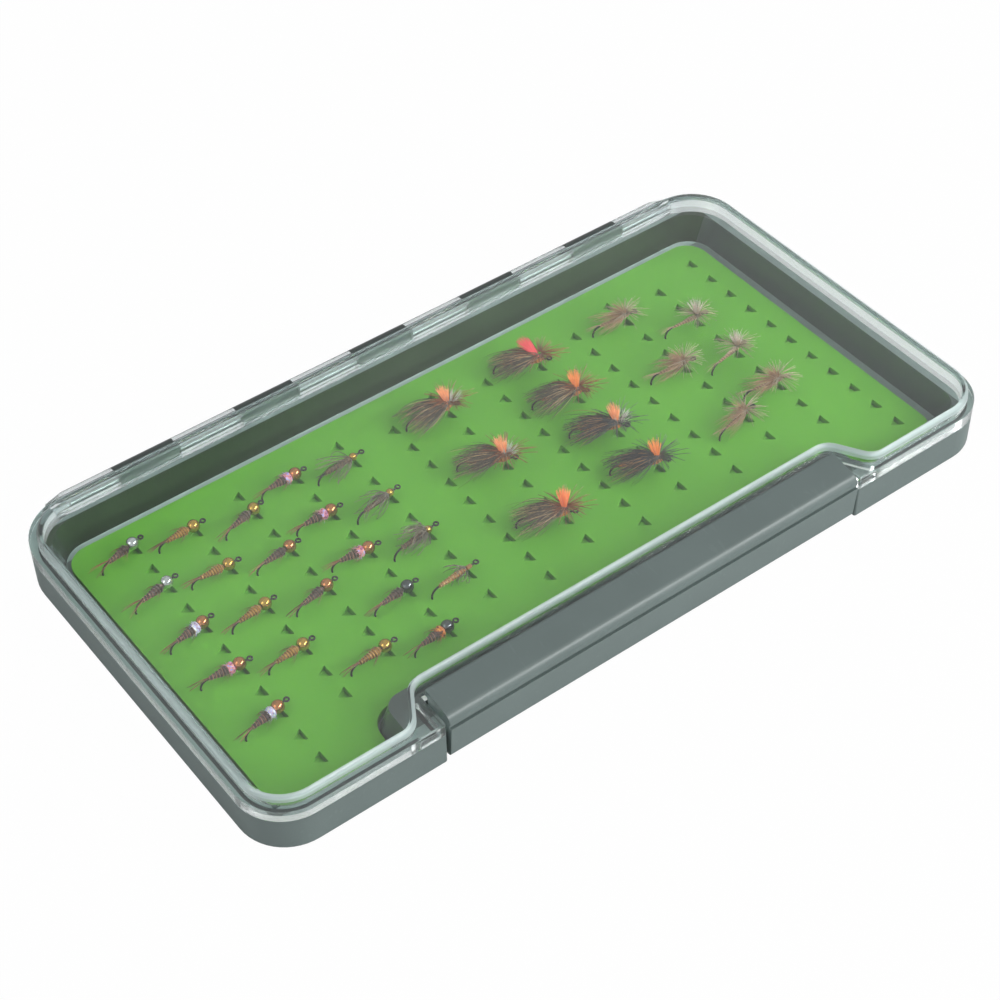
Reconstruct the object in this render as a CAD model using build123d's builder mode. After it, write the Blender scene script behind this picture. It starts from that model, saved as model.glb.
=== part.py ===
from build123d import *
import os
from math import hypot

# Slim fly box: a grey tray with a slitted silicone sheet, a clear lid on a long pin hinge at the
# back, and a full-width latch bar on two stub pins in a recess at the front.
# Frame: origin at the middle of the tray's underside, +X to the right, +Y to the hinge, +Z up. mm.

# ---------------------------------------------------------------- driving dimensions
# tray
case_length = 190.6
case_depth = 100.2
front_corner_radius = 11.0
back_corner_radius = 13.0
tray_height = 8.4
floor_thickness = 1.6
rim_width = 4.6
back_rim_width = 4.6
wall_draft = 1.9
wall_foot_radius = 0.25
bottom_edge_radius = 0.7
recess_half_length = 54.1
recess_depth = 9.4
recess_corner_radius = 0.5
recess_end_draft = 0.2
boss_length = 5.7
boss_slant = 0.6
boss_radius = 3.8
boss_front_radius = 1.6

# lid
lid_gap = 0.1
flange_height = 2.9
shoulder_inset = 1.5
shoulder_back_inset = 2.3
shoulder_radius = 1.0
lid_height = 5.5
lid_wall = 1.3
lid_back_wall = 1.3
panel_thickness = 1.2
crown_end_inset = 0.2
crown_slant = 5.7
crown_recess_radius = 4.0
crown_front_radius = 5.0
crown_end_wall = 0.7
pocket_end_wall = 1.2
pocket_front_wall = 1.0
pocket_side_wall = 1.1
pocket_corner_radius = 0.4
pocket_roof = 1.2

# seal
seal_inset = 1.3
seal_back_inset = 2.25
seal_width = 0.8
seal_depth = 0.9
seal_side_gap = 0.05

# hinge
hinge_axis_behind = 0.55
hinge_axis_above = 0.5
tray_knuckle_radius = 2.1
lid_knuckle_radius = 2.1
end_knuckle_length = 12.0
barrel_end_taper = 4.0
barrel_end_radius = 1.2
knuckle_clearance = 0.3
knuckle_pitch = 30.95
tray_knuckle_count = 5
tray_knuckle_length = 14.8
knuckle_end_gap = 0.15
hinge_pin_radius = 0.8
running_clearance = 0.05
press_gap = 0.01
pin_end_inset = 0.3

# latch
latch_end_gap = 0.55
latch_top_z = 13.9
latch_top_fall = 1.4
latch_bottom_z = 1.1
latch_lip_length = 8.0
latch_back_gap = 1.6
latch_wall = 1.7
latch_top_edge_radius = 2.1
latch_foot_edge_radius = 1.0
latch_heel_radius = 1.2
latch_foot_proud = 0.35
latch_foot_draft = 0.55
latch_groove_z = 9.8
latch_groove_width = 0.6
latch_groove_depth = 0.3
latch_heel_height = 4.0
latch_heel_depth = 6.3
latch_catch_reach = 1.0
latch_catch_height = 0.6
latch_corner_radius = 1.0
latch_rib_thickness = 1.2
latch_rib_count = 5
latch_end_wall = 1.6
latch_rib_setback = 0.6
latch_pivot_inset = 3.1
latch_pivot_z = 3.6
latch_pin_radius = 0.8
latch_pin_in_tray = 4.0
latch_pin_in_latch = 3.0
pin_bore_spare = 0.3

# silicone sheet and its slits
sheet_thickness = 1.8
sheet_side_gap = 0.3
sheet_right_margin = 3.25
sheet_back_margin = 2.75
sheet_corner_radius = 5.5
sheet_front_corner_radius = 4.6
slit_left_margin = 13.15
slit_right_margin = 6.29
slit_back_margin = 7.35
slit_front_margin = 6.8
slit_column_count = 13
end_column_rows = 11
even_column_rows = 9
odd_column_rows = 9
slit_edge_x = 1.0
slit_apex_x = -1.43
slit_apex_y = -0.3
slit_edge_top_y = 1.33
slit_edge_length = 3.15
slit_ramp_depth = 1.3
slit_cut_width = 0.2
slit_cut_depth = 1.9

# hooks and dressings of the flies, measured from the head of each fly, its shank along X
wire_radius = 0.22
eye_radius = 0.5
head_to_eye = 1.9
wrap_clearance = 0.02
point_depth = 1.3
point_length = 3.4
channel_clearance = 0.03

nymph_height = 2.2
nymph_shank = 7.2
bead_radius = 1.45
bead_half_length = 1.2
collar_length = 1.0
collar_radius = 1.15
nymph_thorax_radius = 1.05
nymph_tip_radius = 0.45
piece_gap = 0.05
tail_length = 3.4
tail_root_height = 0.3
tail_tip_height = 0.12
tail_root_width = 0.5
tail_tip_width = 1.2
tail_lift = 0.25
tuft_chamfer_share = 0.6

wet_height = 2.3
wet_shank = 8.0
wet_body_radius = 0.8
wet_tip_radius = 0.5
wet_hackle_start = 0.8
wet_hackle_length = 5.2
wet_hackle_radius = 1.9
wet_hackle_thickness = 0.25

sedge_height = 2.6
sedge_shank = 8.6
sedge_body_radius = 0.9
sedge_tip_radius = 0.6
sedge_wing_start = 0.9
sedge_wing_length = 11.4
sedge_wing_root_half_width = 1.0
sedge_wing_root_half_height = 0.35
sedge_wing_tip_half_width = 3.2
sedge_wing_tip_half_height = 0.9
sedge_hackle_radius = 3.0
sedge_hackle_thickness = 0.3
sedge_hackle_lift = 2.05
post_root_radius = 0.42
post_tip_radius = 1.0
post_height = 3.3
post_hole_radius = 0.8

pale_height = 2.4
pale_shank = 7.4
pale_body_radius = 0.6
pale_tip_radius = 0.4
pale_tail_length = 4.6
pale_post_root_radius = 0.35
pale_post_tip_radius = 1.3
pale_post_height = 3.6
pale_hackle_radius = 2.6
pale_hackle_lift = 1.3
pale_post_hole_radius = 0.95

# Where each fly sits: column, row and turn in degrees, then its dressing. Rows in odd columns
# fall half a pitch between the others.
NYMPHS = [
    (0, 0, 14, "silver", "dark", False),
    (0, 2, 12, "silver", "dark", False),
    (0, 4, 11, "copper", "dark", True),
    (0, 6, -3, "copper", "dark", True),
    (0, 8, 12, "copper", "dark", True),
    (1, 0.5, 3, "gold", "tan", False),
    (1, 2.5, -2, "gold", "tan", False),
    (1, 4.5, 8, "gold", "tan", False),
    (1, 6.5, 6, "gold", "tan", False),
    (2, 1, 16, "gold", "dark", False),
    (2, 3, 7, "copper", "dark", False),
    (2, 5, 12, "copper", "dark", False),
    (2, 8, 5, "gold", "tan", False),
    (3, 0.5, 3, "copper", "dark", True),
    (3, 2.5, 1, "copper", "dark", True),
    (3, 4.5, -4, "copper", "dark", True),
    (3, 6.5, 7, "black", "dark", False),
    (3, 8.5, 7, "black", "dark", True),
]
WET_FLIES = [(4, 1, 5), (4, 3, 10), (4, 5, 8), (4, 7, 5)]
SEDGES = [(6, 1, -8), (6, 4, -30), (6, 7, -26), (8, 1, -27), (8, 3, -21), (8, 5, -31), (8, 7, -27)]
PALE_FLIES = [(10, 1, -5), (11, 2.5, -3), (11, 4.5, 11), (10, 4, -5), (10, 7, 10), (11, 6.5, -8)]

# how close a corner lies to the value that picks it
pick_tolerance = 0.01

# ---------------------------------------------------------------- derived places
half_length = case_length / 2
half_depth = case_depth / 2
recess_y = -half_depth + recess_depth
lid_base_z = tray_height + lid_gap
flange_top_z = lid_base_z + flange_height
lid_top_z = lid_base_z + lid_height
panel_under_z = lid_top_z - panel_thickness
sheet_top_z = floor_thickness + sheet_thickness

sheet_left_x = -(half_length - rim_width - wall_draft) + sheet_side_gap
sheet_right_x = half_length - rim_width - wall_draft - sheet_right_margin
sheet_front_y = -(half_depth - rim_width - wall_draft) + sheet_side_gap
sheet_back_y = half_depth - back_rim_width - wall_draft - sheet_back_margin
slit_first_x = sheet_left_x + slit_left_margin
slit_first_y = sheet_back_y - slit_back_margin
slit_column_pitch = (sheet_right_x - slit_right_margin - slit_first_x) / (slit_column_count - 1)
slit_row_pitch = (slit_first_y - sheet_front_y - slit_front_margin) / (end_column_rows - 1)

hinge_y = half_depth + hinge_axis_behind
hinge_z = lid_base_z + hinge_axis_above
lid_knuckle_length = knuckle_pitch - tray_knuckle_length - 2 * knuckle_end_gap
tray_knuckle_centres = [(k - (tray_knuckle_count - 1) / 2) * knuckle_pitch for k in range(tray_knuckle_count)]
lid_knuckle_centres = [x + knuckle_pitch / 2 for x in tray_knuckle_centres[:-1]]
end_knuckle_x = tray_knuckle_centres[-1] + tray_knuckle_length / 2 + knuckle_end_gap
barrel_half_length = end_knuckle_x + end_knuckle_length
trench_half_length = barrel_half_length + barrel_end_taper + knuckle_clearance
bore_radius = hinge_pin_radius + running_clearance

latch_half_length = recess_half_length - latch_end_gap
latch_back_y = recess_y - latch_back_gap
latch_front_y = latch_back_y - latch_lip_length
latch_foot_y = latch_front_y - latch_foot_proud
latch_pivot_y = latch_front_y + latch_pivot_inset

os.makedirs("parts", exist_ok=True)


def round_corners(outline, corners, radius):
    """Rounds the named corners of an outline. A corner that isn't there stops the build."""
    found = []
    for x, y in corners:
        found += [v for v in outline.vertices() if hypot(v.X - x, v.Y - y) < pick_tolerance]
    if len(found) != len(corners):
        raise ValueError(f"{len(corners)} corners asked for, {len(found)} found")
    fillet(found, radius)


def recessed_outline(sides, back, front, recess, half_at_recess, half_at_front, recess_blend, front_blend):
    """Plan of the case, inset from its outer edge, with the latch recess in its front edge."""
    x = half_length - sides
    y_back = half_depth - back
    y_front = -half_depth + front
    y_recess = recess_y + recess
    with BuildSketch() as outline:
        with BuildLine():
            Polyline(
                (x, y_back),
                (-x, y_back),
                (-x, y_front),
                (-half_at_front, y_front),
                (-half_at_recess, y_recess),
                (half_at_recess, y_recess),
                (half_at_front, y_front),
                (x, y_front),
                close=True,
            )
        make_face()
        for corner_x, corner_y, radius in (
            (x, y_back, back_corner_radius - sides),
            (x, y_front, front_corner_radius - sides),
            (half_at_recess, y_recess, recess_blend),
            (half_at_front, y_front, front_blend),
        ):
            round_corners(outline, [(-corner_x, corner_y), (corner_x, corner_y)], radius)
    return outline.sketch


def edge_outline(sides, back, end):
    """Outline with square recess ends, a given distance in from the outer edge of the case."""
    return recessed_outline(
        sides,
        back,
        sides,
        sides,
        recess_half_length + end,
        recess_half_length + end + recess_end_draft,
        recess_corner_radius + sides,
        recess_corner_radius,
    )


def cavity_outline(depth):
    """Inside of the tray, a given distance down its drafted wall, with a boss at each recess end."""
    return recessed_outline(
        rim_width + depth,
        back_rim_width + depth,
        rim_width + depth,
        rim_width + depth,
        recess_half_length + boss_length + depth,
        recess_half_length + boss_length + depth + boss_slant,
        boss_radius + depth,
        boss_front_radius,
    )


def crown_outline(wall, back_wall, end_wall):
    """Raised crown of the lid, a given wall inside its outer face, its ends swept round the recess."""
    return recessed_outline(
        shoulder_inset + wall,
        shoulder_back_inset + back_wall,
        shoulder_inset + wall,
        shoulder_inset + wall,
        recess_half_length + crown_end_inset + end_wall,
        recess_half_length + crown_end_inset + end_wall + crown_slant,
        crown_recess_radius + wall,
        crown_front_radius - wall,
    )


def slit_spots():
    """Places of the slits: staggered columns, the two end columns longer than the rest."""
    spots = []
    for column in range(slit_column_count):
        is_end = column in (0, slit_column_count - 1)
        is_odd = column % 2 == 1
        rows = end_column_rows if is_end else odd_column_rows if is_odd else even_column_rows
        stagger = 0.5 if is_odd else 0.0
        for row in range(rows):
            x = slit_first_x + column * slit_column_pitch
            y = slit_first_y - (row + stagger) * slit_row_pitch
            spots.append((x, y, sheet_top_z))
    return spots


def fly_places(flies, height):
    """Locations of flies at their slits, each with its shank at a height over the sheet."""
    places = []
    for column, row, turn in flies:
        x = slit_first_x + column * slit_column_pitch
        y = slit_first_y - row * slit_row_pitch
        places.append(Location((x, y, sheet_top_z + height), (0, 0, turn)))
    return places


def nymph_places(test):
    """Locations of the nymphs whose bead, body and collar pass the test."""
    chosen = [(c, r, turn) for c, r, turn, bead, body, collar in NYMPHS if test(bead, body, collar)]
    return fly_places(chosen, nymph_height)


def hook(shank, height):
    """Hook with its shank along X at z = 0, a round bend, its point under the sheet, and an eye."""
    gap = height + point_depth
    with BuildPart() as bent_wire:
        with BuildLine(Plane.XZ) as route:
            Line((head_to_eye, 0), (-shank, 0))
            ThreePointArc((-shank, 0), (-shank - gap / 2, -gap / 2), (-shank, -gap))
            Line((-shank, -gap), (-shank + point_length, -gap))
        with BuildSketch(Plane(origin=route.line @ 0, z_dir=route.line % 0)):
            Circle(wire_radius)
        sweep()
        with Locations((head_to_eye + eye_radius, 0, 0)):
            Torus(eye_radius, wire_radius)
    return bent_wire.part


def hook_channel(shank, height):
    """What a hook's bend and point push aside in the silicone."""
    gap = height + point_depth
    with BuildPart() as channel:
        with BuildLine(Plane.XZ) as route:
            ThreePointArc((-shank, 0), (-shank - gap / 2, -gap / 2), (-shank, -gap))
            Line((-shank, -gap), (-shank + point_length + channel_clearance, -gap))
        with BuildSketch(Plane(origin=route.line @ 0, z_dir=route.line % 0)):
            Circle(wire_radius + channel_clearance)
        sweep()
    return channel.part


def wound_body(start, end, start_radius, end_radius):
    """Dressing wound on the shank between two distances behind the head."""
    inner = wire_radius + wrap_clearance
    with BuildPart() as body:
        with BuildSketch(Plane.XZ):
            Polygon(
                (-start, inner),
                (-start, start_radius),
                (-end, end_radius),
                (-end, inner),
                align=None,
            )
        revolve(axis=Axis.X)
    return body.part


def hair_tuft(start, end, root, tip, root_z, tip_z):
    """Flat-sided tuft along -X; root and tip are the (half width, half height) of its ends."""
    with BuildPart() as tuft:
        for back, (half_width, half_height), z in ((start, root, root_z), (end, tip, tip_z)):
            with BuildSketch(Plane.YZ.offset(-back)) as section:
                with Locations((0, z)):
                    Rectangle(2 * half_width, 2 * half_height)
                chamfer(section.vertices(), tuft_chamfer_share * half_height)
        loft(ruled=True)
    return tuft.part


def post(foot_z, height, root_radius, tip_radius):
    """Upright wing post that stands on the body at the head."""
    with BuildPart() as cone:
        with BuildSketch(Plane.XY.offset(foot_z)):
            Circle(root_radius)
        with BuildSketch(Plane.XY.offset(foot_z + height)):
            Circle(tip_radius)
        loft()
    return cone.part


def parachute_hackle(lift, radius, hole_radius):
    """Flat ring of hackle round a post."""
    with BuildPart() as ring:
        with BuildSketch(Plane.XY.offset(lift)):
            Circle(radius)
            Circle(hole_radius, mode=Mode.SUBTRACT)
        extrude(amount=sedge_hackle_thickness)
    return ring.part


# ---------------------------------------------------------------- tray
with BuildPart() as cavity:
    with BuildSketch(Plane.XY.offset(floor_thickness)):
        add(cavity_outline(wall_draft))
    with BuildSketch(Plane.XY.offset(tray_height)):
        add(cavity_outline(0))
    loft(ruled=True)
    fillet(cavity.faces().sort_by(Axis.Z)[0].edges(), wall_foot_radius)

with BuildPart() as seal_groove:
    with BuildSketch(Plane.XY.offset(tray_height)):
        add(edge_outline(seal_inset, seal_back_inset, seal_inset))
        offset(amount=-seal_width, mode=Mode.SUBTRACT, kind=Kind.INTERSECTION)
    extrude(amount=-seal_depth)

with BuildPart() as base_tray:
    with BuildSketch():
        add(edge_outline(0, 0, 0))
    extrude(amount=tray_height)
    fillet(base_tray.faces().sort_by(Axis.Z)[0].edges(), bottom_edge_radius)
    add(cavity.part, mode=Mode.SUBTRACT)
    add(seal_groove.part, mode=Mode.SUBTRACT)
    # room for the lid's knuckles, then the tray's own knuckles
    with BuildSketch(Plane.YZ.offset(-trench_half_length)):
        with Locations((hinge_y, hinge_z)):
            Circle(lid_knuckle_radius + knuckle_clearance)
    extrude(amount=2 * trench_half_length, mode=Mode.SUBTRACT)
    for centre in tray_knuckle_centres:
        with BuildSketch(Plane.YZ.offset(centre - tray_knuckle_length / 2)):
            with Locations((hinge_y, hinge_z)):
                Circle(tray_knuckle_radius)
            web_reach = lid_knuckle_radius + knuckle_clearance
            with Locations((half_depth, tray_height)):
                Rectangle(web_reach - hinge_axis_behind, web_reach, align=(Align.MAX, Align.MAX))
        extrude(amount=tray_knuckle_length)
    with BuildSketch(Plane.YZ.offset(-half_length)):
        with Locations((hinge_y, hinge_z)):
            Circle(hinge_pin_radius + press_gap)
    extrude(amount=case_length, mode=Mode.SUBTRACT)
    # bores for the latch's stub pins in the ends of the recess
    for side in (-1, 1):
        with BuildSketch(Plane.YZ.offset(side * recess_half_length)):
            with Locations((latch_pivot_y, latch_pivot_z)):
                Circle(latch_pin_radius + press_gap)
        extrude(amount=side * (latch_pin_in_tray + pin_bore_spare), mode=Mode.SUBTRACT)
        with BuildSketch(Plane.YZ.offset(side * recess_half_length)):
            with Locations((latch_pivot_y, latch_pivot_z)):
                Circle(latch_pin_radius + press_gap)
        extrude(amount=-side * recess_corner_radius, mode=Mode.SUBTRACT)

base_tray.part.label = "base_tray"
export_step(base_tray.part, "parts/base_tray.step")

# ---------------------------------------------------------------- seal
with BuildPart() as rubber_seal:
    with BuildSketch(Plane.XY.offset(tray_height - seal_depth)):
        seal_line = seal_inset + seal_side_gap
        add(edge_outline(seal_line, seal_back_inset + seal_side_gap, seal_line))
        offset(amount=-(seal_width - 2 * seal_side_gap), mode=Mode.SUBTRACT, kind=Kind.INTERSECTION)
    extrude(amount=seal_depth)

rubber_seal.part.label = "rubber_seal"
export_step(rubber_seal.part, "parts/rubber_seal.step")

# ---------------------------------------------------------------- silicone sheet
with BuildPart() as slit:
    with BuildSketch():
        Polygon(
            (slit_apex_x, slit_apex_y),
            (slit_edge_x, slit_edge_top_y),
            (slit_edge_x, slit_edge_top_y - slit_edge_length),
            align=None,
        )
    extrude(amount=-slit_ramp_depth)
    with BuildSketch(Plane.XZ.offset(-slit_edge_length)):
        Polygon((slit_apex_x, 0), (slit_edge_x, 0), (slit_edge_x, -slit_ramp_depth), align=None)
    extrude(amount=2 * slit_edge_length, mode=Mode.INTERSECT)
    with BuildSketch():
        with Locations((slit_edge_x, slit_edge_top_y)):
            Rectangle(slit_cut_width, slit_edge_length, align=(Align.MIN, Align.MAX))
    extrude(amount=-slit_cut_depth)

with BuildPart() as silicone_sheet:
    boss_foot = boss_length + wall_draft + sheet_side_gap
    sheet_recess_y = recess_y + rim_width + wall_draft + sheet_side_gap
    sheet_recess_half = recess_half_length + boss_foot
    boss_front_x = sheet_recess_half + boss_slant
    with BuildSketch(Plane.XY.offset(floor_thickness)) as sheet_plan:
        with BuildLine():
            Polyline(
                (sheet_right_x, sheet_back_y),
                (sheet_left_x, sheet_back_y),
                (sheet_left_x, sheet_front_y),
                (-boss_front_x, sheet_front_y),
                (-sheet_recess_half, sheet_recess_y),
                (sheet_recess_half, sheet_recess_y),
                (boss_front_x, sheet_front_y),
                (sheet_right_x, sheet_front_y),
                close=True,
            )
        make_face()
        for left_x, right_x, y, radius in (
            (sheet_left_x, sheet_right_x, sheet_back_y, sheet_corner_radius),
            (sheet_left_x, sheet_right_x, sheet_front_y, sheet_front_corner_radius),
            (-sheet_recess_half, sheet_recess_half, sheet_recess_y, boss_radius + wall_draft),
            (-boss_front_x, boss_front_x, sheet_front_y, boss_front_radius),
        ):
            round_corners(sheet_plan, [(left_x, y), (right_x, y)], radius)
    extrude(amount=sheet_thickness)
    with Locations(*slit_spots()):
        add(slit.part, mode=Mode.SUBTRACT)
    with Locations(*nymph_places(lambda bead, body, collar: True)):
        add(hook_channel(nymph_shank, nymph_height), mode=Mode.SUBTRACT)
    with Locations(*fly_places(WET_FLIES, wet_height)):
        add(hook_channel(wet_shank, wet_height), mode=Mode.SUBTRACT)
    with Locations(*fly_places(SEDGES, sedge_height)):
        add(hook_channel(sedge_shank, sedge_height), mode=Mode.SUBTRACT)
    with Locations(*fly_places(PALE_FLIES, pale_height)):
        add(hook_channel(pale_shank, pale_height), mode=Mode.SUBTRACT)

silicone_sheet.part.label = "silicone_sheet"
export_step(silicone_sheet.part, "parts/silicone_sheet.step")

# ---------------------------------------------------------------- hinge pin
with BuildPart() as hinge_pin:
    with BuildSketch(Plane.YZ.offset(-barrel_half_length + pin_end_inset)):
        with Locations((hinge_y, hinge_z)):
            Circle(hinge_pin_radius)
    extrude(amount=2 * (barrel_half_length - pin_end_inset))

hinge_pin.part.label = "hinge_pin"
export_step(hinge_pin.part, "parts/hinge_pin.step")

# ---------------------------------------------------------------- lid
with BuildPart() as lid:
    with BuildSketch(Plane.XY.offset(lid_base_z)):
        add(edge_outline(0, 0, 0))
    extrude(amount=flange_height)
    with BuildSketch(Plane.XY.offset(flange_top_z)):
        add(crown_outline(0, 0, 0))
    extrude(amount=lid_top_z - flange_top_z)
    fillet(lid.faces().sort_by(Axis.Z)[-1].edges(), shoulder_radius)
    with BuildSketch(Plane.XY.offset(lid_base_z)):
        add(crown_outline(lid_wall, lid_back_wall, crown_end_wall))
    extrude(amount=panel_under_z - lid_base_z, mode=Mode.SUBTRACT)
    # cored pockets under the flange, between the recess ends and the swept wall
    slant_length = hypot(crown_slant, recess_depth)
    wall_x = recess_half_length + crown_end_inset + crown_end_wall - pocket_side_wall * recess_depth / slant_length
    wall_y = recess_y + shoulder_inset + lid_wall - pocket_side_wall * crown_slant / slant_length
    pocket_x = recess_half_length + pocket_end_wall
    pocket_front_y = -half_depth + pocket_front_wall
    pocket_back_y = wall_y - (pocket_x - wall_x) * recess_depth / crown_slant
    pocket_far_x = wall_x + (wall_y - pocket_front_y) * crown_slant / recess_depth
    for side in (-1, 1):
        with BuildSketch(Plane.XY.offset(lid_base_z)) as pocket:
            with BuildLine():
                Polyline(
                    (side * pocket_x, pocket_back_y),
                    (side * pocket_x, pocket_front_y),
                    (side * pocket_far_x, pocket_front_y),
                    close=True,
                )
            make_face()
            fillet(pocket.vertices(), pocket_corner_radius)
        extrude(amount=flange_height - pocket_roof, mode=Mode.SUBTRACT)
    # room for the tray's knuckles, then the lid's own knuckles
    for centre in tray_knuckle_centres:
        span = knuckle_pitch - lid_knuckle_length
        with BuildSketch(Plane.YZ.offset(centre - span / 2)):
            with Locations((hinge_y, hinge_z)):
                Circle(tray_knuckle_radius + knuckle_clearance)
            with Locations((hinge_y - tray_knuckle_radius - knuckle_clearance, lid_base_z)):
                Rectangle(tray_knuckle_radius + knuckle_clearance, flange_height, align=(Align.MIN, Align.MIN))
        extrude(amount=span, mode=Mode.SUBTRACT)
    for centre in lid_knuckle_centres:
        with BuildSketch(Plane.YZ.offset(centre - lid_knuckle_length / 2)):
            with Locations((hinge_y, hinge_z)):
                Circle(lid_knuckle_radius)
        extrude(amount=lid_knuckle_length)
    for side in (-1, 1):
        with BuildSketch(Plane.YZ.offset(side * end_knuckle_x)):
            with Locations((hinge_y, hinge_z)):
                Circle(lid_knuckle_radius)
        extrude(amount=side * end_knuckle_length)
        for x, radius in (
            (barrel_half_length, lid_knuckle_radius),
            (barrel_half_length + barrel_end_taper, barrel_end_radius),
        ):
            with BuildSketch(Plane.YZ.offset(side * x)):
                with Locations((hinge_y, hinge_z)):
                    Circle(radius)
        loft()
    with BuildSketch(Plane.YZ.offset(-half_length)):
        with Locations((hinge_y, hinge_z)):
            Circle(bore_radius)
    extrude(amount=case_length, mode=Mode.SUBTRACT)

lid.part.label = "lid"
export_step(lid.part, "parts/lid.step")

# ---------------------------------------------------------------- latch bar
with BuildPart() as latch_bar:
    with BuildSketch(Plane.YZ.offset(-latch_half_length)) as latch_section:
        with BuildLine():
            Polyline(
                (latch_back_y, latch_top_z),
                (latch_front_y, latch_top_z - latch_top_fall),
                (latch_front_y, latch_groove_z + latch_groove_width),
                (latch_front_y + latch_groove_depth, latch_groove_z + latch_groove_width),
                (latch_front_y + latch_groove_depth, latch_groove_z),
                (latch_foot_y, latch_groove_z),
                (latch_foot_y + latch_foot_draft, latch_bottom_z),
                (latch_front_y + latch_heel_depth, latch_bottom_z),
                (latch_front_y + latch_heel_depth, latch_bottom_z + latch_heel_height),
                (latch_front_y + latch_wall, latch_bottom_z + latch_heel_height),
                (latch_front_y + latch_wall, latch_top_z - latch_top_fall - latch_wall),
                (latch_back_y + latch_catch_reach, latch_top_z - latch_wall),
                (latch_back_y + latch_catch_reach, latch_top_z - latch_wall + latch_catch_height),
                (latch_back_y, latch_top_z - latch_wall + latch_catch_height),
                close=True,
            )
        make_face()
        section_roundings = [
            ((latch_front_y, latch_top_z - latch_top_fall), latch_top_edge_radius),
            ((latch_foot_y + latch_foot_draft, latch_bottom_z), latch_foot_edge_radius),
            ((latch_front_y + latch_heel_depth, latch_bottom_z), latch_heel_radius),
        ]
        for corner, radius in section_roundings:
            fillet(latch_section.vertices().sort_by_distance(corner)[0], radius)
    extrude(amount=2 * latch_half_length)
    # ribs across the hollow back, and the two end walls
    rib_pitch = 2 * latch_half_length / (latch_rib_count + 1)
    ribs = [((k - (latch_rib_count - 1) / 2) * rib_pitch, latch_rib_thickness) for k in range(latch_rib_count)]
    end_wall_x = latch_half_length - latch_end_wall / 2
    rib_front_y = latch_front_y + latch_wall / 2
    rib_back_y = latch_back_y - latch_rib_setback
    rib_foot_z = latch_bottom_z + latch_heel_height / 2
    rib_top_z = latch_top_z - latch_wall / 2
    for x, thickness in ribs + [(-end_wall_x, latch_end_wall), (end_wall_x, latch_end_wall)]:
        with BuildSketch(Plane.YZ.offset(x - thickness / 2)):
            Polygon(
                (rib_front_y, rib_foot_z),
                (rib_back_y, rib_foot_z),
                (rib_back_y, rib_top_z),
                (rib_front_y, rib_top_z - latch_top_fall),
                align=None,
            )
        extrude(amount=thickness)
    # plan corners at the back are rounded
    with BuildSketch(Plane.XY) as latch_plan:
        with Locations((0, latch_back_y + latch_catch_reach)):
            Rectangle(2 * latch_half_length, case_depth / 2, align=(Align.CENTER, Align.MAX))
        fillet(latch_plan.vertices().group_by(Axis.Y)[-1], latch_corner_radius)
    extrude(amount=latch_top_z, mode=Mode.INTERSECT)
    for side in (-1, 1):
        with BuildSketch(Plane.YZ.offset(side * latch_half_length)):
            with Locations((latch_pivot_y, latch_pivot_z)):
                Circle(latch_pin_radius + running_clearance)
        extrude(amount=-side * (latch_pin_in_latch + pin_bore_spare), mode=Mode.SUBTRACT)

latch_bar.part.label = "latch_bar"
export_step(latch_bar.part, "parts/latch_bar.step")

with BuildPart() as latch_pins:
    for side in (-1, 1):
        with BuildSketch(Plane.YZ.offset(side * (latch_half_length - latch_pin_in_latch))):
            with Locations((latch_pivot_y, latch_pivot_z)):
                Circle(latch_pin_radius)
        extrude(amount=side * (latch_pin_in_latch + latch_end_gap + latch_pin_in_tray))

latch_pins.part.label = "latch_pins"
export_step(latch_pins.part, "parts/latch_pins.step")

# ---------------------------------------------------------------- nymphs
with BuildPart() as bead:
    Sphere(bead_radius)
    with BuildSketch(Plane.YZ.offset(-bead_radius)):
        Circle(wire_radius + wrap_clearance)
    extrude(amount=2 * bead_radius, mode=Mode.SUBTRACT)
    with BuildSketch(Plane.YZ.offset(-bead_half_length)):
        Circle(2 * bead_radius)
    extrude(amount=2 * bead_half_length, mode=Mode.INTERSECT)

collar_start = bead_half_length + piece_gap
body_start = collar_start + collar_length + piece_gap
collar = wound_body(collar_start, collar_start + collar_length, collar_radius, collar_radius)
plain_nymph_body = wound_body(collar_start, nymph_shank, nymph_thorax_radius, nymph_tip_radius)
collared_nymph_body = wound_body(body_start, nymph_shank, nymph_thorax_radius, nymph_tip_radius)
tail_root = nymph_shank + piece_gap
nymph_tail = hair_tuft(
    tail_root,
    tail_root + tail_length,
    (tail_root_width / 2, tail_root_height / 2),
    (tail_tip_width / 2, tail_tip_height / 2),
    wire_radius + tail_root_height / 2 + piece_gap,
    wire_radius + tail_root_height / 2 + tail_lift,
)

with BuildPart() as nymph_hooks:
    with Locations(*nymph_places(lambda bead, body, collar: True)):
        add(hook(nymph_shank, nymph_height))
nymph_hooks.part.label = "nymph_hooks"
export_step(nymph_hooks.part, "parts/nymph_hooks.step")

with BuildPart() as silver_beads:
    with Locations(*nymph_places(lambda bead, body, collar: bead == "silver")):
        add(bead.part)
silver_beads.part.label = "silver_beads"
export_step(silver_beads.part, "parts/silver_beads.step")

with BuildPart() as copper_beads:
    with Locations(*nymph_places(lambda bead, body, collar: bead == "copper")):
        add(bead.part)
copper_beads.part.label = "copper_beads"
export_step(copper_beads.part, "parts/copper_beads.step")

with BuildPart() as gold_beads:
    with Locations(*nymph_places(lambda bead, body, collar: bead == "gold")):
        add(bead.part)
gold_beads.part.label = "gold_beads"
export_step(gold_beads.part, "parts/gold_beads.step")

with BuildPart() as black_beads:
    with Locations(*nymph_places(lambda bead, body, collar: bead == "black")):
        add(bead.part)
black_beads.part.label = "black_beads"
export_step(black_beads.part, "parts/black_beads.step")

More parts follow.
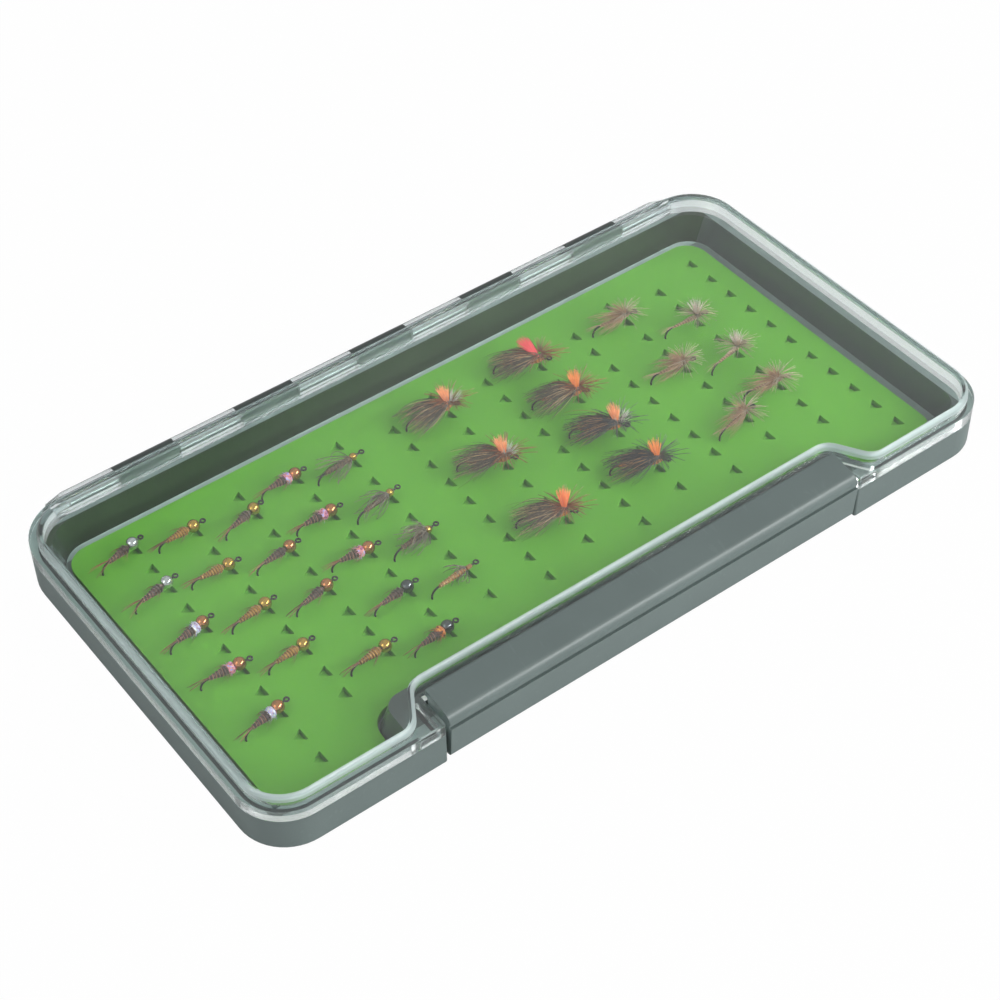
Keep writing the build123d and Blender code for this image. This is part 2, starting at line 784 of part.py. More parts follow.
with BuildPart() as tan_nymph_bodies:
    with Locations(*nymph_places(lambda bead, body, collar: body == "tan")):
        add(plain_nymph_body)
tan_nymph_bodies.part.label = "tan_nymph_bodies"
export_step(tan_nymph_bodies.part, "parts/tan_nymph_bodies.step")

with BuildPart() as dark_nymph_bodies:
    with Locations(*nymph_places(lambda bead, body, collar: body == "dark" and not collar)):
        add(plain_nymph_body)
    with Locations(*nymph_places(lambda bead, body, collar: body == "dark" and collar)):
        add(collared_nymph_body)
dark_nymph_bodies.part.label = "dark_nymph_bodies"
export_step(dark_nymph_bodies.part, "parts/dark_nymph_bodies.step")

with BuildPart() as nymph_collars:
    with Locations(*nymph_places(lambda bead, body, collar: collar)):
        add(collar)
nymph_collars.part.label = "nymph_collars"
export_step(nymph_collars.part, "parts/nymph_collars.step")

with BuildPart() as nymph_tails:
    with Locations(*nymph_places(lambda bead, body, collar: True)):
        add(nymph_tail)
nymph_tails.part.label = "nymph_tails"
export_step(nymph_tails.part, "parts/nymph_tails.step")

# ---------------------------------------------------------------- wet flies
wet_places = fly_places(WET_FLIES, wet_height)

with BuildPart() as wet_hooks:
    with Locations(*wet_places):
        add(hook(wet_shank, wet_height))
wet_hooks.part.label = "wet_hooks"
export_step(wet_hooks.part, "parts/wet_hooks.step")

with BuildPart() as wet_bodies:
    with Locations(*wet_places):
        add(wound_body(-bead_half_length, wet_shank, wet_body_radius, wet_tip_radius))
wet_bodies.part.label = "wet_bodies"
export_step(wet_bodies.part, "parts/wet_bodies.step")

with BuildPart() as swept_hackle:
    with BuildSketch(Plane.XZ):
        hackle_root = wet_body_radius + piece_gap
        Polygon(
            (-wet_hackle_start, hackle_root),
            (-wet_hackle_start, hackle_root + wet_hackle_thickness),
            (-wet_hackle_start - wet_hackle_length, wet_hackle_radius),
            (-wet_hackle_start - wet_hackle_length, wet_hackle_radius - wet_hackle_thickness),
            align=None,
        )
    revolve(axis=Axis.X)

with BuildPart() as wet_hackles:
    with Locations(*wet_places):
        add(swept_hackle.part)
wet_hackles.part.label = "wet_hackles"
export_step(wet_hackles.part, "parts/wet_hackles.step")

# ---------------------------------------------------------------- sedges
sedge_places = fly_places(SEDGES, sedge_height)
wing_under = sedge_body_radius + piece_gap

with BuildPart() as sedge_hooks:
    with Locations(*sedge_places):
        add(hook(sedge_shank, sedge_height))
sedge_hooks.part.label = "sedge_hooks"
export_step(sedge_hooks.part, "parts/sedge_hooks.step")

with BuildPart() as sedge_bodies:
    with Locations(*sedge_places):
        add(wound_body(-bead_half_length, sedge_shank, sedge_body_radius, sedge_tip_radius))
sedge_bodies.part.label = "sedge_bodies"
export_step(sedge_bodies.part, "parts/sedge_bodies.step")

with BuildPart() as sedge_wings:
    with Locations(*sedge_places):
        add(
            hair_tuft(
                sedge_wing_start,
                sedge_wing_start + sedge_wing_length,
                (sedge_wing_root_half_width, sedge_wing_root_half_height),
                (sedge_wing_tip_half_width, sedge_wing_tip_half_height),
                wing_under + sedge_wing_root_half_height,
                wing_under + sedge_wing_tip_half_height,
            )
        )
sedge_wings.part.label = "sedge_wings"
export_step(sedge_wings.part, "parts/sedge_wings.step")

with BuildPart() as sedge_posts:
    with Locations(*sedge_places):
        add(post(wing_under, post_height, post_root_radius, post_tip_radius))
sedge_posts.part.label = "sedge_posts"
export_step(sedge_posts.part, "parts/sedge_posts.step")

with BuildPart() as sedge_hackles:
    with Locations(*sedge_places):
        add(parachute_hackle(sedge_hackle_lift, sedge_hackle_radius, post_hole_radius))
sedge_hackles.part.label = "sedge_hackles"
export_step(sedge_hackles.part, "parts/sedge_hackles.step")

# ---------------------------------------------------------------- pale flies
pale_places = fly_places(PALE_FLIES, pale_height)
pale_post_foot = pale_body_radius + piece_gap

with BuildPart() as pale_hooks:
    with Locations(*pale_places):
        add(hook(pale_shank, pale_height))
pale_hooks.part.label = "pale_hooks"
export_step(pale_hooks.part, "parts/pale_hooks.step")

with BuildPart() as pale_bodies:
    with Locations(*pale_places):
        add(wound_body(-bead_half_length, pale_shank, pale_body_radius, pale_tip_radius))
pale_bodies.part.label = "pale_bodies"
export_step(pale_bodies.part, "parts/pale_bodies.step")

with BuildPart() as pale_tails:
    with Locations(*pale_places):
        add(
            hair_tuft(
                pale_shank + piece_gap,
                pale_shank + piece_gap + pale_tail_length,
                (tail_root_width / 2, tail_root_height / 2),
                (tail_tip_width / 2, tail_tip_height / 2),
                wire_radius + tail_root_height / 2 + piece_gap,
                wire_radius + tail_root_height / 2 + tail_lift,
            )
        )
pale_tails.part.label = "pale_tails"
export_step(pale_tails.part, "parts/pale_tails.step")

with BuildPart() as pale_posts:
    with Locations(*pale_places):
        add(post(pale_post_foot, pale_post_height, pale_post_root_radius, pale_post_tip_radius))
pale_posts.part.label = "pale_posts"
export_step(pale_posts.part, "parts/pale_posts.step")

with BuildPart() as pale_hackles:
    with Locations(*pale_places):
        add(parachute_hackle(pale_hackle_lift, pale_hackle_radius, pale_post_hole_radius))
pale_hackles.part.label = "pale_hackles"
export_step(pale_hackles.part, "parts/pale_hackles.step")
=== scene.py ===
import random
from math import cos, pi, radians, sin

import bpy
from mathutils import Matrix, Vector


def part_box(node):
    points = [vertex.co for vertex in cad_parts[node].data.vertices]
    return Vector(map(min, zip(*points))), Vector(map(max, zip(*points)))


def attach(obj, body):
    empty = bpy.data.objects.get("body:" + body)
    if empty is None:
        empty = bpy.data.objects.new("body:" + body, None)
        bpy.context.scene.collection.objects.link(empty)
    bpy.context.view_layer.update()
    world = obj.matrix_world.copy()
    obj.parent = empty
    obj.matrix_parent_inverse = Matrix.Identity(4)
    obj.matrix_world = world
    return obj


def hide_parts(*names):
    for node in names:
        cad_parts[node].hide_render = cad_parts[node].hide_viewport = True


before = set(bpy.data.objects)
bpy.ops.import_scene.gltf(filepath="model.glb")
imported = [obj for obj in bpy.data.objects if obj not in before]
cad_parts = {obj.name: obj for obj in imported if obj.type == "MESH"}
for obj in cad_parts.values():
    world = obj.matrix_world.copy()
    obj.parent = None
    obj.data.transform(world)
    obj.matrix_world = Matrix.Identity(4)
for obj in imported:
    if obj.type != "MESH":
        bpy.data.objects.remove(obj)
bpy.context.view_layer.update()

MM = 0.001
rng = random.Random(7)

# ------------------------------------------------------------------ measures of the case

SHEET_LOW, SHEET_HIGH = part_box("silicone_sheet")
SHEET_TOP = SHEET_HIGH[2]
SHEET_BACK = SHEET_HIGH[1]
TRAY_LOW, TRAY_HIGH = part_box("base_tray")
RIM_WIDTH = 4.6 * MM
WELL_MARGIN = 0.05 * MM
WELL_HALF_LENGTH = TRAY_HIGH[0] - RIM_WIDTH + WELL_MARGIN
WELL_HALF_DEPTH = -TRAY_LOW[1] - RIM_WIDTH + WELL_MARGIN
WELL_FLOOR = 1.7 * MM
RIM_TOP = 8.5 * MM
HINGE_AXIS_Y = 50.65 * MM
HINGE_AXIS_Z = 9.0 * MM
BARREL_RADIUS = 2.2 * MM      # a little over the real one, to take in its whole skin

# ------------------------------------------------------------------ shader maths


class Value:
    """A socket whose number varies over a surface. Sums and products of values add Math nodes."""

    def __init__(self, finish, socket):
        self.finish = finish
        self.socket = socket

    def maths(self, operation, first, second, clamp=False):
        settings = {"operation": operation, "use_clamp": clamp}
        return self.finish.node("Math", settings, {0: first, 1: second})

    def __add__(self, other):
        return self.maths("ADD", self, other)

    def __radd__(self, other):
        return self.maths("ADD", other, self)

    def __sub__(self, other):
        return self.maths("SUBTRACT", self, other)

    def __rsub__(self, other):
        return self.maths("SUBTRACT", other, self)

    def __mul__(self, other):
        return self.maths("MULTIPLY", self, other)

    def __rmul__(self, other):
        return self.maths("MULTIPLY", other, self)

    def __truediv__(self, other):
        return self.maths("DIVIDE", self, other)

    def __gt__(self, other):
        return self.maths("GREATER_THAN", self, other)

    def __lt__(self, other):
        return self.maths("LESS_THAN", self, other)

    def clamped(self):
        return self.maths("ADD", self, 0.0, clamp=True)

    def larger(self, other):
        return self.maths("MAXIMUM", self, other)


class Finish:
    """One material, or the studio's surroundings, in the making."""

    def __init__(self, name, library=bpy.data.materials):
        self.material = library.new(name)
        self.material.use_nodes = True
        self.tree = self.material.node_tree
        self.tree.nodes.clear()

    def node(self, kind, settings=None, sockets=None, out=0):
        """Adds a node: its settings first, then its sockets' values or links."""
        made = self.tree.nodes.new("ShaderNode" + kind)
        for name, setting in (settings or {}).items():
            if name == "stops":
                ramp = made.color_ramp
                while len(ramp.elements) < len(setting):
                    ramp.elements.new(1.0)
                for element, (place, colour) in zip(ramp.elements, setting):
                    element.position = place
                    element.color = (*colour, 1.0)
            else:
                setattr(made, name, setting)
        for name, given in (sockets or {}).items():
            if isinstance(given, Value):
                self.tree.links.new(given.socket, made.inputs[name])
            else:
                made.inputs[name].default_value = given
        return Value(self, made.outputs[out])

    def place(self):
        """Where a point of the piece is, in metres."""
        return self.node("TexCoord", out="Object")

    def noise(self, scale, detail=3.0, roughness=0.55, stretch=(1, 1, 1)):
        """Noise with about scale cells to the metre, drawn out along an axis of stretch below 1."""
        at = self.place()
        if stretch != (1, 1, 1):
            at = self.node("Mapping", None, {"Vector": at, "Scale": stretch})
        sockets = {"Vector": at, "Scale": scale, "Detail": detail, "Roughness": roughness}
        return self.node("TexNoise", {}, sockets)

    def mix(self, factor, first, second, blend="MIX"):
        settings = {"data_type": "RGBA", "blend_type": blend}
        sockets = {0: factor, 6: as_colour(first), 7: as_colour(second)}
        return self.node("Mix", settings, sockets, out=2)

    def ramp(self, factor, stops):
        return self.node("ValToRGB", {"stops": stops}, {"Fac": factor})

    def bump(self, height, depth, strength=1.0):
        return self.node("Bump", None, {"Height": height, "Distance": depth, "Strength": strength})

    def surface(self, shader, kind="Material"):
        output = self.tree.nodes.new("ShaderNodeOutput" + kind)
        self.tree.links.new(shader.socket, output.inputs["Surface"])
        return self.material

    def principled(self, **sockets):
        named = {name.replace("_", " "): given for name, given in sockets.items()}
        named["Base Color"] = as_colour(named["Base Color"])
        return self.node("BsdfPrincipled", None, named)


def as_colour(given):
    """Gives a plain colour its alpha, and leaves a value as it is."""
    return given if isinstance(given, Value) else (*given, 1.0)


def shade(colour, factor):
    """The same colour, darker or lighter."""
    return tuple(min(1.0, c * factor) for c in colour)


# ------------------------------------------------------------------ finishes

TRAY_GREY = (0.185, 0.235, 0.225)
# painted shade for the well's back wall, tinted green as a painted reflection of the silicone
BACK_WALL_PAINTED_SHADE_AND_REFLECTION = (0.022, 0.040, 0.020)
PLASTIC_IOR = 1.5
# painted shade on the tray's inner walls and round its hinge barrel, and a painted reflection on
# the back strip of floor, as shares of its outside tone
WELL_WALL_PAINTED_SHADE = 0.38
BARREL_PAINTED_SHADE = 0.31
FLOOR_STRIP_PAINTED_REFLECTION = 2.4


def moulded_plastic(name, colour, has_well=False):
    """Satin moulded plastic: fine spark-eroded grain, faint mottling and handling marks.

    A tray with a well has painted shade inside its walls, darkest and green-tinted on the back
    wall, and round its hinge barrel, and a painted reflection lightens the strip of floor behind
    the silicone.
    """
    f = Finish(name)
    cloud = f.noise(60.0, 4.0)
    marks = f.noise(900.0, 2.0, stretch=(1.0, 0.15, 1.0))
    tone = f.mix(cloud, shade(colour, 0.90), shade(colour, 1.10))
    tone = f.mix(0.25 * (marks > 0.66), tone, shade(colour, 1.25))
    grain = f.noise(4200.0, 2.0, 0.6)
    rough = 0.28 + 0.10 * cloud + 0.08 * grain
    if has_well:
        x, y, z = (f.node("SeparateXYZ", None, {"Vector": f.place()}, out=axis) for axis in "XYZ")
        across = f.node("Math", {"operation": "ABSOLUTE"}, {0: x}) < WELL_HALF_LENGTH
        along = f.node("Math", {"operation": "ABSOLUTE"}, {0: y}) < WELL_HALF_DEPTH
        inside = across * along
        well = inside * (z < RIM_TOP) * (z > WELL_FLOOR)
        # painted shade: the well's inner walls are darker than the outside
        tone = f.mix(well, tone, shade(colour, WELL_WALL_PAINTED_SHADE))
        # painted shade on the back wall, tinted green as a painted reflection of the silicone
        tone = f.mix(well * (y > SHEET_BACK), tone, BACK_WALL_PAINTED_SHADE_AND_REFLECTION)
        # painted shade round the hinge barrel, between the knuckles
        behind, above = y - HINGE_AXIS_Y, z - HINGE_AXIS_Z
        barrel = (behind * behind + above * above) < BARREL_RADIUS ** 2
        tone = f.mix(barrel, tone, shade(colour, BARREL_PAINTED_SHADE))
        # painted reflection: the strip of floor behind the silicone is lighter
        painted_reflection_strip = inside * (z < WELL_FLOOR) * (z > 0.5 * WELL_FLOOR) * (y > SHEET_BACK)
        tone = f.mix(painted_reflection_strip, tone, shade(colour, FLOOR_STRIP_PAINTED_REFLECTION))
        rough = rough * (1.0 - 0.6 * well.larger(painted_reflection_strip))
    shader = f.principled(
        Base_Color=tone,
        Roughness=rough,
        IOR=PLASTIC_IOR,
        Normal=f.bump(grain, 0.04 * MM, 0.5),
    )
    return f.surface(shader)


SILICONE_GREEN = (0.120, 0.378, 0.030)
# painted shade: the green darkens towards this tone the deeper a point lies below the sheet's top
SLIT_PAINTED_SHADE = (0.090, 0.310, 0.024)
SILICONE_IOR = 1.41
SLIT_SHADE_DEPTH = 1.3 * MM


def silicone(name):
    """Soft green silicone rubber, a little translucent, with a talc-smooth skin and painted shade
    in its slits.
    """
    f = Finish(name)
    cloud = f.noise(35.0, 3.0)
    fine = f.noise(1500.0, 3.0)
    height = f.node("SeparateXYZ", None, {"Vector": f.place()}, out="Z")
    # painted shade in the slits, growing with depth below the sheet's top
    deep = ((SHEET_TOP - height) / SLIT_SHADE_DEPTH).clamped()
    tone = f.mix(cloud, shade(SILICONE_GREEN, 0.93), shade(SILICONE_GREEN, 1.07))
    tone = f.mix(deep, tone, SLIT_PAINTED_SHADE)
    shader = f.principled(
        Base_Color=tone,
        Roughness=0.42 + 0.12 * fine,
        IOR=SILICONE_IOR,
        Subsurface_Weight=0.15,
        Subsurface_Radius=(0.6 * MM, 1.2 * MM, 0.4 * MM),
        Normal=f.bump(fine, 0.02 * MM, 0.4),
    )
    return f.surface(shader)


CLEAR_TONE = (0.955, 0.985, 0.98)
LAMP_LIGHT_THROUGH = (0.90, 0.93, 0.92, 1.0)
# a face whose normal rises less than this counts as an upright wall
UPRIGHT_BELOW = 0.97
# painted highlight: the pale band along the edge of the raised panel, which fades out towards the
# hinge
CROWN_PAINTED_HIGHLIGHT = (0.80, 0.95, 0.93)
CROWN_BAND_LOW = 12.2 * MM
CROWN_BACK = 42.0 * MM
CROWN_FADE = 12.0 * MM
# the greyer plastic of the hinge edge
HINGE_STRIP_TONE = (0.79, 0.83, 0.84)
HINGE_STRIP_FRONT = 43.0 * MM
HINGE_STRIP_FADE = 3.0 * MM


def clear_plastic(name):
    """Clear polycarbonate that lets the lamps' light through to what it covers.

    Its upright walls are a little wavy, and the raised panel's edge has a painted highlight: a
    pale, streaky band.
    """
    f = Finish(name)
    haze = f.noise(40.0, 3.0)
    hair_marks = f.noise(700.0, 2.0, stretch=(0.12, 1.0, 1.0))
    facing = f.node("TexCoord", out="Normal")
    upward = f.node("SeparateXYZ", None, {"Vector": facing}, out="Z")
    wall = f.node("Math", {"operation": "ABSOLUTE"}, {0: upward}) < UPRIGHT_BELOW
    waves = f.noise(900.0, 2.0, stretch=(0.3, 1.0, 1.0))
    y, z = (f.node("SeparateXYZ", None, {"Vector": f.place()}, out=axis) for axis in "YZ")
    hinge_strip = ((y - HINGE_STRIP_FRONT) / HINGE_STRIP_FADE).clamped()
    glass = f.principled(
        Base_Color=f.mix(hinge_strip, CLEAR_TONE, HINGE_STRIP_TONE),
        Roughness=0.01 + 0.03 * haze * (hair_marks > 0.60) + wall * (0.06 + 0.12 * waves),
        IOR=PLASTIC_IOR,
        Transmission_Weight=1.0,
        Normal=f.bump(wall * waves, 0.06 * MM, 0.6),
    )
    # painted highlight: a pale matt band with streaks along the raised panel's edge, fading towards
    # the hinge, and a faint share of it on every other upright wall
    crown = wall * (z > CROWN_BAND_LOW) * ((CROWN_BACK - y) / CROWN_FADE).clamped()
    lines = f.noise(1500.0, 2.0, 0.6, stretch=(0.02, 0.02, 1.0))
    painted_edge_highlight = f.principled(Base_Color=CROWN_PAINTED_HIGHLIGHT, Roughness=0.35 + 0.1 * waves, IOR=PLASTIC_IOR)
    lit = crown * (0.32 + 0.58 * lines) + 0.03 * (wall - crown)
    glass = f.node("MixShader", None, {0: lit, 1: glass, 2: painted_edge_highlight})
    through = f.node("BsdfTransparent", None, {"Color": LAMP_LIGHT_THROUGH})
    lamp_ray = f.node("LightPath", out="Is Shadow Ray")
    return f.surface(f.node("MixShader", None, {0: lamp_ray, 1: glass, 2: through}))


def rubber(name, colour):
    """Matt seal rubber with a fine dusty grain."""
    f = Finish(name)
    fine = f.noise(2500.0, 3.0)
    shader = f.principled(
        Base_Color=f.mix(fine, shade(colour, 0.8), shade(colour, 1.3)),
        Roughness=0.65 + 0.2 * fine,
        Normal=f.bump(fine, 0.03 * MM, 0.5),
    )
    return f.surface(shader)


def metal(name, colour, roughness):
    """Drawn or turned metal with fine marks along it."""
    f = Finish(name)
    marks = f.noise(2500.0, 3.0, stretch=(0.2, 1.0, 1.0))
    shader = f.principled(
        Base_Color=f.mix(marks, shade(colour, 0.85), shade(colour, 1.1)),
        Metallic=1.0,
        Roughness=roughness + 0.10 * marks,
        Normal=f.bump(marks, 0.01 * MM, 0.3),
    )
    return f.surface(shader)


def black_wire_finish(name):
    """Bronzed black hook wire."""
    f = Finish(name)
    marks = f.noise(3000.0, 2.0)
    shader = f.principled(
        Base_Color=f.mix(marks, (0.010, 0.010, 0.012), (0.035, 0.030, 0.028)),
        Roughness=0.40 + 0.15 * marks,
        Metallic=0.3,
    )
    return f.surface(shader)


GLINT_ABOVE = 0.86


def fibre(name, root, tip, spread=0.5, glint=None, glow=0.0):
    """Hair, feather or yarn: tone changes from strand to strand and along each strand.

    About one strand in seven takes the glint's tone, and a yarn may be given a little painted glow
    of its own tone.
    """
    f = Finish(name)
    uv = f.node("UVMap")
    parted = f.node("SeparateXYZ", None, {"Vector": uv}, out="X")
    along = f.node("SeparateXYZ", None, {"Vector": uv}, out="Y")
    fleck = f.noise(2200.0, 2.0)
    tone = f.mix(along, root, tip)
    darker = f.mix(spread, tone, shade(root, 0.35))
    lighter = f.mix(spread, tone, shade(tip, 1.35))
    tone = f.mix(parted, darker, lighter)
    tone = f.mix(0.35 * fleck, tone, shade(root, 0.5))
    if glint:
        tone = f.mix(parted > GLINT_ABOVE, tone, glint)
    shader = f.principled(
        Base_Color=tone,
        # painted glow: the yarn emits a little of its own tone
        Emission_Color=as_colour(tone if glow else (0, 0, 0)),
        Emission_Strength=glow,
        Roughness=0.6,
        Sheen_Weight=0.3,
        Normal=f.bump(fleck, 0.03 * MM, 0.5),
    )
    return f.surface(shader)


def sparkle(name, tones):
    """Chopped flash dubbing: flecks of four colours, some of them bright as foil."""
    f = Finish(name)
    flecks = f.noise(1500.0, 1.0, 0.5)
    stops = [(0.38, tones[0]), (0.46, tones[1]), (0.53, tones[2]), (0.60, tones[3])]
    shader = f.principled(
        Base_Color=f.ramp(flecks, stops),
        Roughness=0.22 + 0.3 * flecks,
        Metallic=0.5 * (flecks > 0.55),
        Normal=f.bump(flecks, 0.1 * MM, 0.9),
    )
    return f.surface(shader)


RIB_MARK = 2.0
RIB_ABOVE = 1.5
THREAD_LINE_ABOVE = 0.86


def wound_thread(name, dark, light, rib, turns):
    """Thread or quill wound on a shank, with a line of the rib's tone at every turn.

    Ribbing wire carries RIB_MARK as its tone and takes the rib's colour.
    """
    f = Finish(name)
    uv = f.node("UVMap")
    along = f.node("SeparateXYZ", None, {"Vector": uv}, out="Y")
    around = f.node("SeparateXYZ", None, {"Vector": uv}, out="X")
    phase = f.node("Math", {"operation": "FRACT"}, {0: along * turns + around})
    groove = f.node("Math", {"operation": "PINGPONG"}, {0: phase, 1: 0.5}) * 2.0
    fuzz = f.noise(2600.0, 3.0)
    # painted shade: darker in the groove between turns, lighter on each turn's crest
    tone = f.mix(groove, dark, light)
    tone = f.mix(phase > THREAD_LINE_ABOVE, tone, rib)
    tone = f.mix(0.5 * fuzz, tone, shade(dark, 0.6))
    tone = f.mix(around > RIB_ABOVE, tone, rib)
    shader = f.principled(
        Base_Color=tone,
        Roughness=0.45 + 0.2 * fuzz,
        Sheen_Weight=0.2,
        Normal=f.bump(groove + 0.4 * fuzz, 0.08 * MM, 0.8),
    )
    return f.surface(shader)


# ------------------------------------------------------------------ mesh piles

STRAND_SIDES = 3
CLEAR_OF_ZERO = 1e-9
NEARLY_ALONG = 1e-3


class Pile:
    """Vertices and faces of one visible piece, gathered strand by strand."""

    def __init__(self):
        self.points = []
        self.faces = []
        self.face_uvs = []
        self.stance = Matrix.Identity(4)

    def stand(self, stance):
        """Puts what is added next where a fly stands."""
        self.stance = stance

    def tube(self, path, radii, sides, tone=None):
        """A capped tube along a path in millimetres, with its radius given at every point."""
        tone = rng.random() if tone is None else tone
        first = len(self.points)
        count = len(path)
        side = Vector((0, 0, 1))
        for k, centre in enumerate(path):
            ahead = path[min(k + 1, count - 1)] - path[max(k - 1, 0)]
            if ahead.length < CLEAR_OF_ZERO:
                ahead = Vector((1, 0, 0))
            ahead.normalize()
            side = side - ahead * side.dot(ahead)
            if side.length < NEARLY_ALONG:
                side = ahead.orthogonal()
            side.normalize()
            other = ahead.cross(side)
            for s in range(sides):
                turn = 2 * pi * s / sides
                point = centre + (side * cos(turn) + other * sin(turn)) * radii[k]
                self.points.append(self.stance @ (point * MM))
        for k in range(count - 1):
            for s in range(sides):
                a = first + k * sides + s
                b = first + k * sides + (s + 1) % sides
                self.faces.append((a, b, b + sides, a + sides))
                v0, v1 = k / (count - 1), (k + 1) / (count - 1)
                self.face_uvs.append(((tone, v0), (tone, v0), (tone, v1), (tone, v1)))
        self.faces.append(tuple(first + s for s in reversed(range(sides))))
        self.face_uvs.append(((tone, 0.0),) * sides)
        last = first + (count - 1) * sides
        self.faces.append(tuple(last + s for s in range(sides)))
        self.face_uvs.append(((tone, 1.0),) * sides)

    def strand(self, root, tip, bow, radius, steps=4, taper=0.75):
        """A tapering fibre from root to tip, bowed aside at its middle."""
        path = []
        radii = []
        for k in range(steps + 1):
            t = k / steps
            path.append(root.lerp(tip, t) + bow * (4 * t * (1 - t)))
            radii.append(radius * (1.0 - taper * t))
        self.tube(path, radii, STRAND_SIDES)

    def lathe(self, profile, sides):
        """A closed turned shape about the shank; profile is (distance behind the head, radius)."""
        first = len(self.points)
        count = len(profile)
        for x, radius in profile:
            for s in range(sides):
                turn = 2 * pi * s / sides
                point = Vector((-x, radius * cos(turn), radius * sin(turn)))
                self.points.append(self.stance @ (point * MM))
        for k in range(count):
            after = (k + 1) % count
            for s in range(sides):
                a = first + k * sides + s
                b = first + k * sides + (s + 1) % sides
                c = first + after * sides + (s + 1) % sides
                d = first + after * sides + s
                self.faces.append((a, d, c, b))
                u0, u1 = s / sides, (s + 1) / sides
                v0, v1 = k / count, (k + 1) / count
                self.face_uvs.append(((u0, v0), (u0, v1), (u1, v1), (u1, v0)))

    def piece(self, name, finish, node, slot):
        """Makes the pile one smooth piece that rides on the base in place of a CAD node."""
        mesh = bpy.data.meshes.new(name)
        mesh.from_pydata(self.points, [], self.faces)
        layer = mesh.uv_layers.new(name="UVMap")
        flat = [corner for face in self.face_uvs for corner in face]
        layer.data.foreach_set("uv", [number for corner in flat for number in corner])
        mesh.polygons.foreach_set("use_smooth", [True] * len(mesh.polygons))
        mesh.materials.append(finish)
        made = bpy.data.objects.new(name, mesh)
        bpy.context.collection.objects.link(made)
        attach(made, "base")
        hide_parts(node)


# ------------------------------------------------------------------ the case's finishes

SEAL_BLACK = (0.03, 0.032, 0.033)
STEEL = (0.60, 0.61, 0.62)
STEEL_ROUGHNESS = 0.25


def dress(node, finish):
    """Gives a CAD node its finish."""
    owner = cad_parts[node]
    owner.data.materials.clear()
    owner.data.materials.append(finish)


dress("base_tray", moulded_plastic("grey_tray_plastic", TRAY_GREY, has_well=True))
dress("latch_bar", moulded_plastic("grey_latch_plastic", TRAY_GREY))
dress("silicone_sheet", silicone("green_silicone"))
dress("lid", clear_plastic("clear_polycarbonate"))
dress("rubber_seal", rubber("seal_rubber", SEAL_BLACK))
dress("hinge_pin", metal("pin_steel", STEEL, STEEL_ROUGHNESS))
dress("latch_pins", metal("stub_pin_steel", STEEL, STEEL_ROUGHNESS))
hook_black = black_wire_finish("hook_black")
for hooks in ("nymph_hooks", "wet_hooks", "sedge_hooks", "pale_hooks"):
    dress(hooks, hook_black)

# ------------------------------------------------------------------ where the flies sit

SLIT_LEFT_MARGIN = 13.15 * MM
SLIT_RIGHT_MARGIN = 6.29 * MM
SLIT_BACK_MARGIN = 7.35 * MM
SLIT_FRONT_MARGIN = 6.8 * MM
LAST_COLUMN = 12
LAST_ROW = 10
# how high each kind's shank lies over the silicone, in millimetres
NYMPH_HEIGHT = 2.2
WET_HEIGHT = 2.3
SEDGE_HEIGHT = 2.6
PALE_HEIGHT = 2.4

# column, row, turn in degrees, bead, body, collar colour
NYMPHS = [
    (0, 0, 14, "silver", "dark", None),
    (0, 2, 12, "silver", "dark", None),
    (0, 4, 11, "copper", "dark", "lilac"),
    (0, 6, -3, "copper", "dark", "pink"),
    (0, 8, 12, "copper", "dark", "lilac"),
    (1, 0.5, 3, "gold", "tan", None),
    (1, 2.5, -2, "gold", "tan", None),
    (1, 4.5, 8, "gold", "tan", None),
    (1, 6.5, 6, "gold", "tan", None),
    (2, 1, 16, "gold", "dark", None),
    (2, 3, 7, "copper", "dark", None),
    (2, 5, 12, "copper", "dark", None),
    (2, 8, 5, "gold", "tan", None),
    (3, 0.5, 3, "copper", "dark", "pink"),
    (3, 2.5, 1, "copper", "dark", "pink"),
    (3, 4.5, -4, "copper", "dark", "pink"),
    (3, 6.5, 7, "black", "dark", None),
    (3, 8.5, 7, "black", "dark", "orange"),
]
# column, row, turn, dressing
WET_FLIES = [
    (4, 1, 5, "long"),
    (4, 3, 10, "long"),
    (4, 5, 8, "bushy"),
    (4, 7, 5, "amber"),
]
# column, row, turn, post colour, wing darkness
SEDGES = [
    (6, 1, -8, "mixed", "brown"),
    (6, 4, -30, "mixed", "brown"),
    (6, 7, -26, "bright", "brown"),
    (8, 1, -27, "red", "brown"),
    (8, 3, -21, "orange", "brown"),
    (8, 5, -31, "mixed", "dark"),
    (8, 7, -27, "orange", "dark"),
]
# column, row, turn, wing hair
PALE_FLIES = [
    (10, 1, -5, "rust"),
    (11, 2.5, -3, "white"),
    (11, 4.5, 11, "white"),
    (10, 4, -5, "rust"),
    (10, 7, 10, "rust"),
    (11, 6.5, -8, "rust"),
]


def stance(column, row, turn, height):
    """Where a fly stands: its head over a slit, turned about the vertical."""
    first_x = SHEET_LOW[0] + SLIT_LEFT_MARGIN
    last_x = SHEET_HIGH[0] - SLIT_RIGHT_MARGIN
    first_y = SHEET_HIGH[1] - SLIT_BACK_MARGIN
    last_y = SHEET_LOW[1] + SLIT_FRONT_MARGIN
    x = first_x + (last_x - first_x) * column / LAST_COLUMN
    y = first_y + (last_y - first_y) * row / LAST_ROW
    head = Matrix.Translation((x, y, SHEET_TOP + height * MM))
    return head @ Matrix.Rotation(radians(turn), 4, "Z")


# ------------------------------------------------------------------ parts of a fly
# Sizes are in millimetres in the fly's own frame: x ahead along the shank, y across, z up.

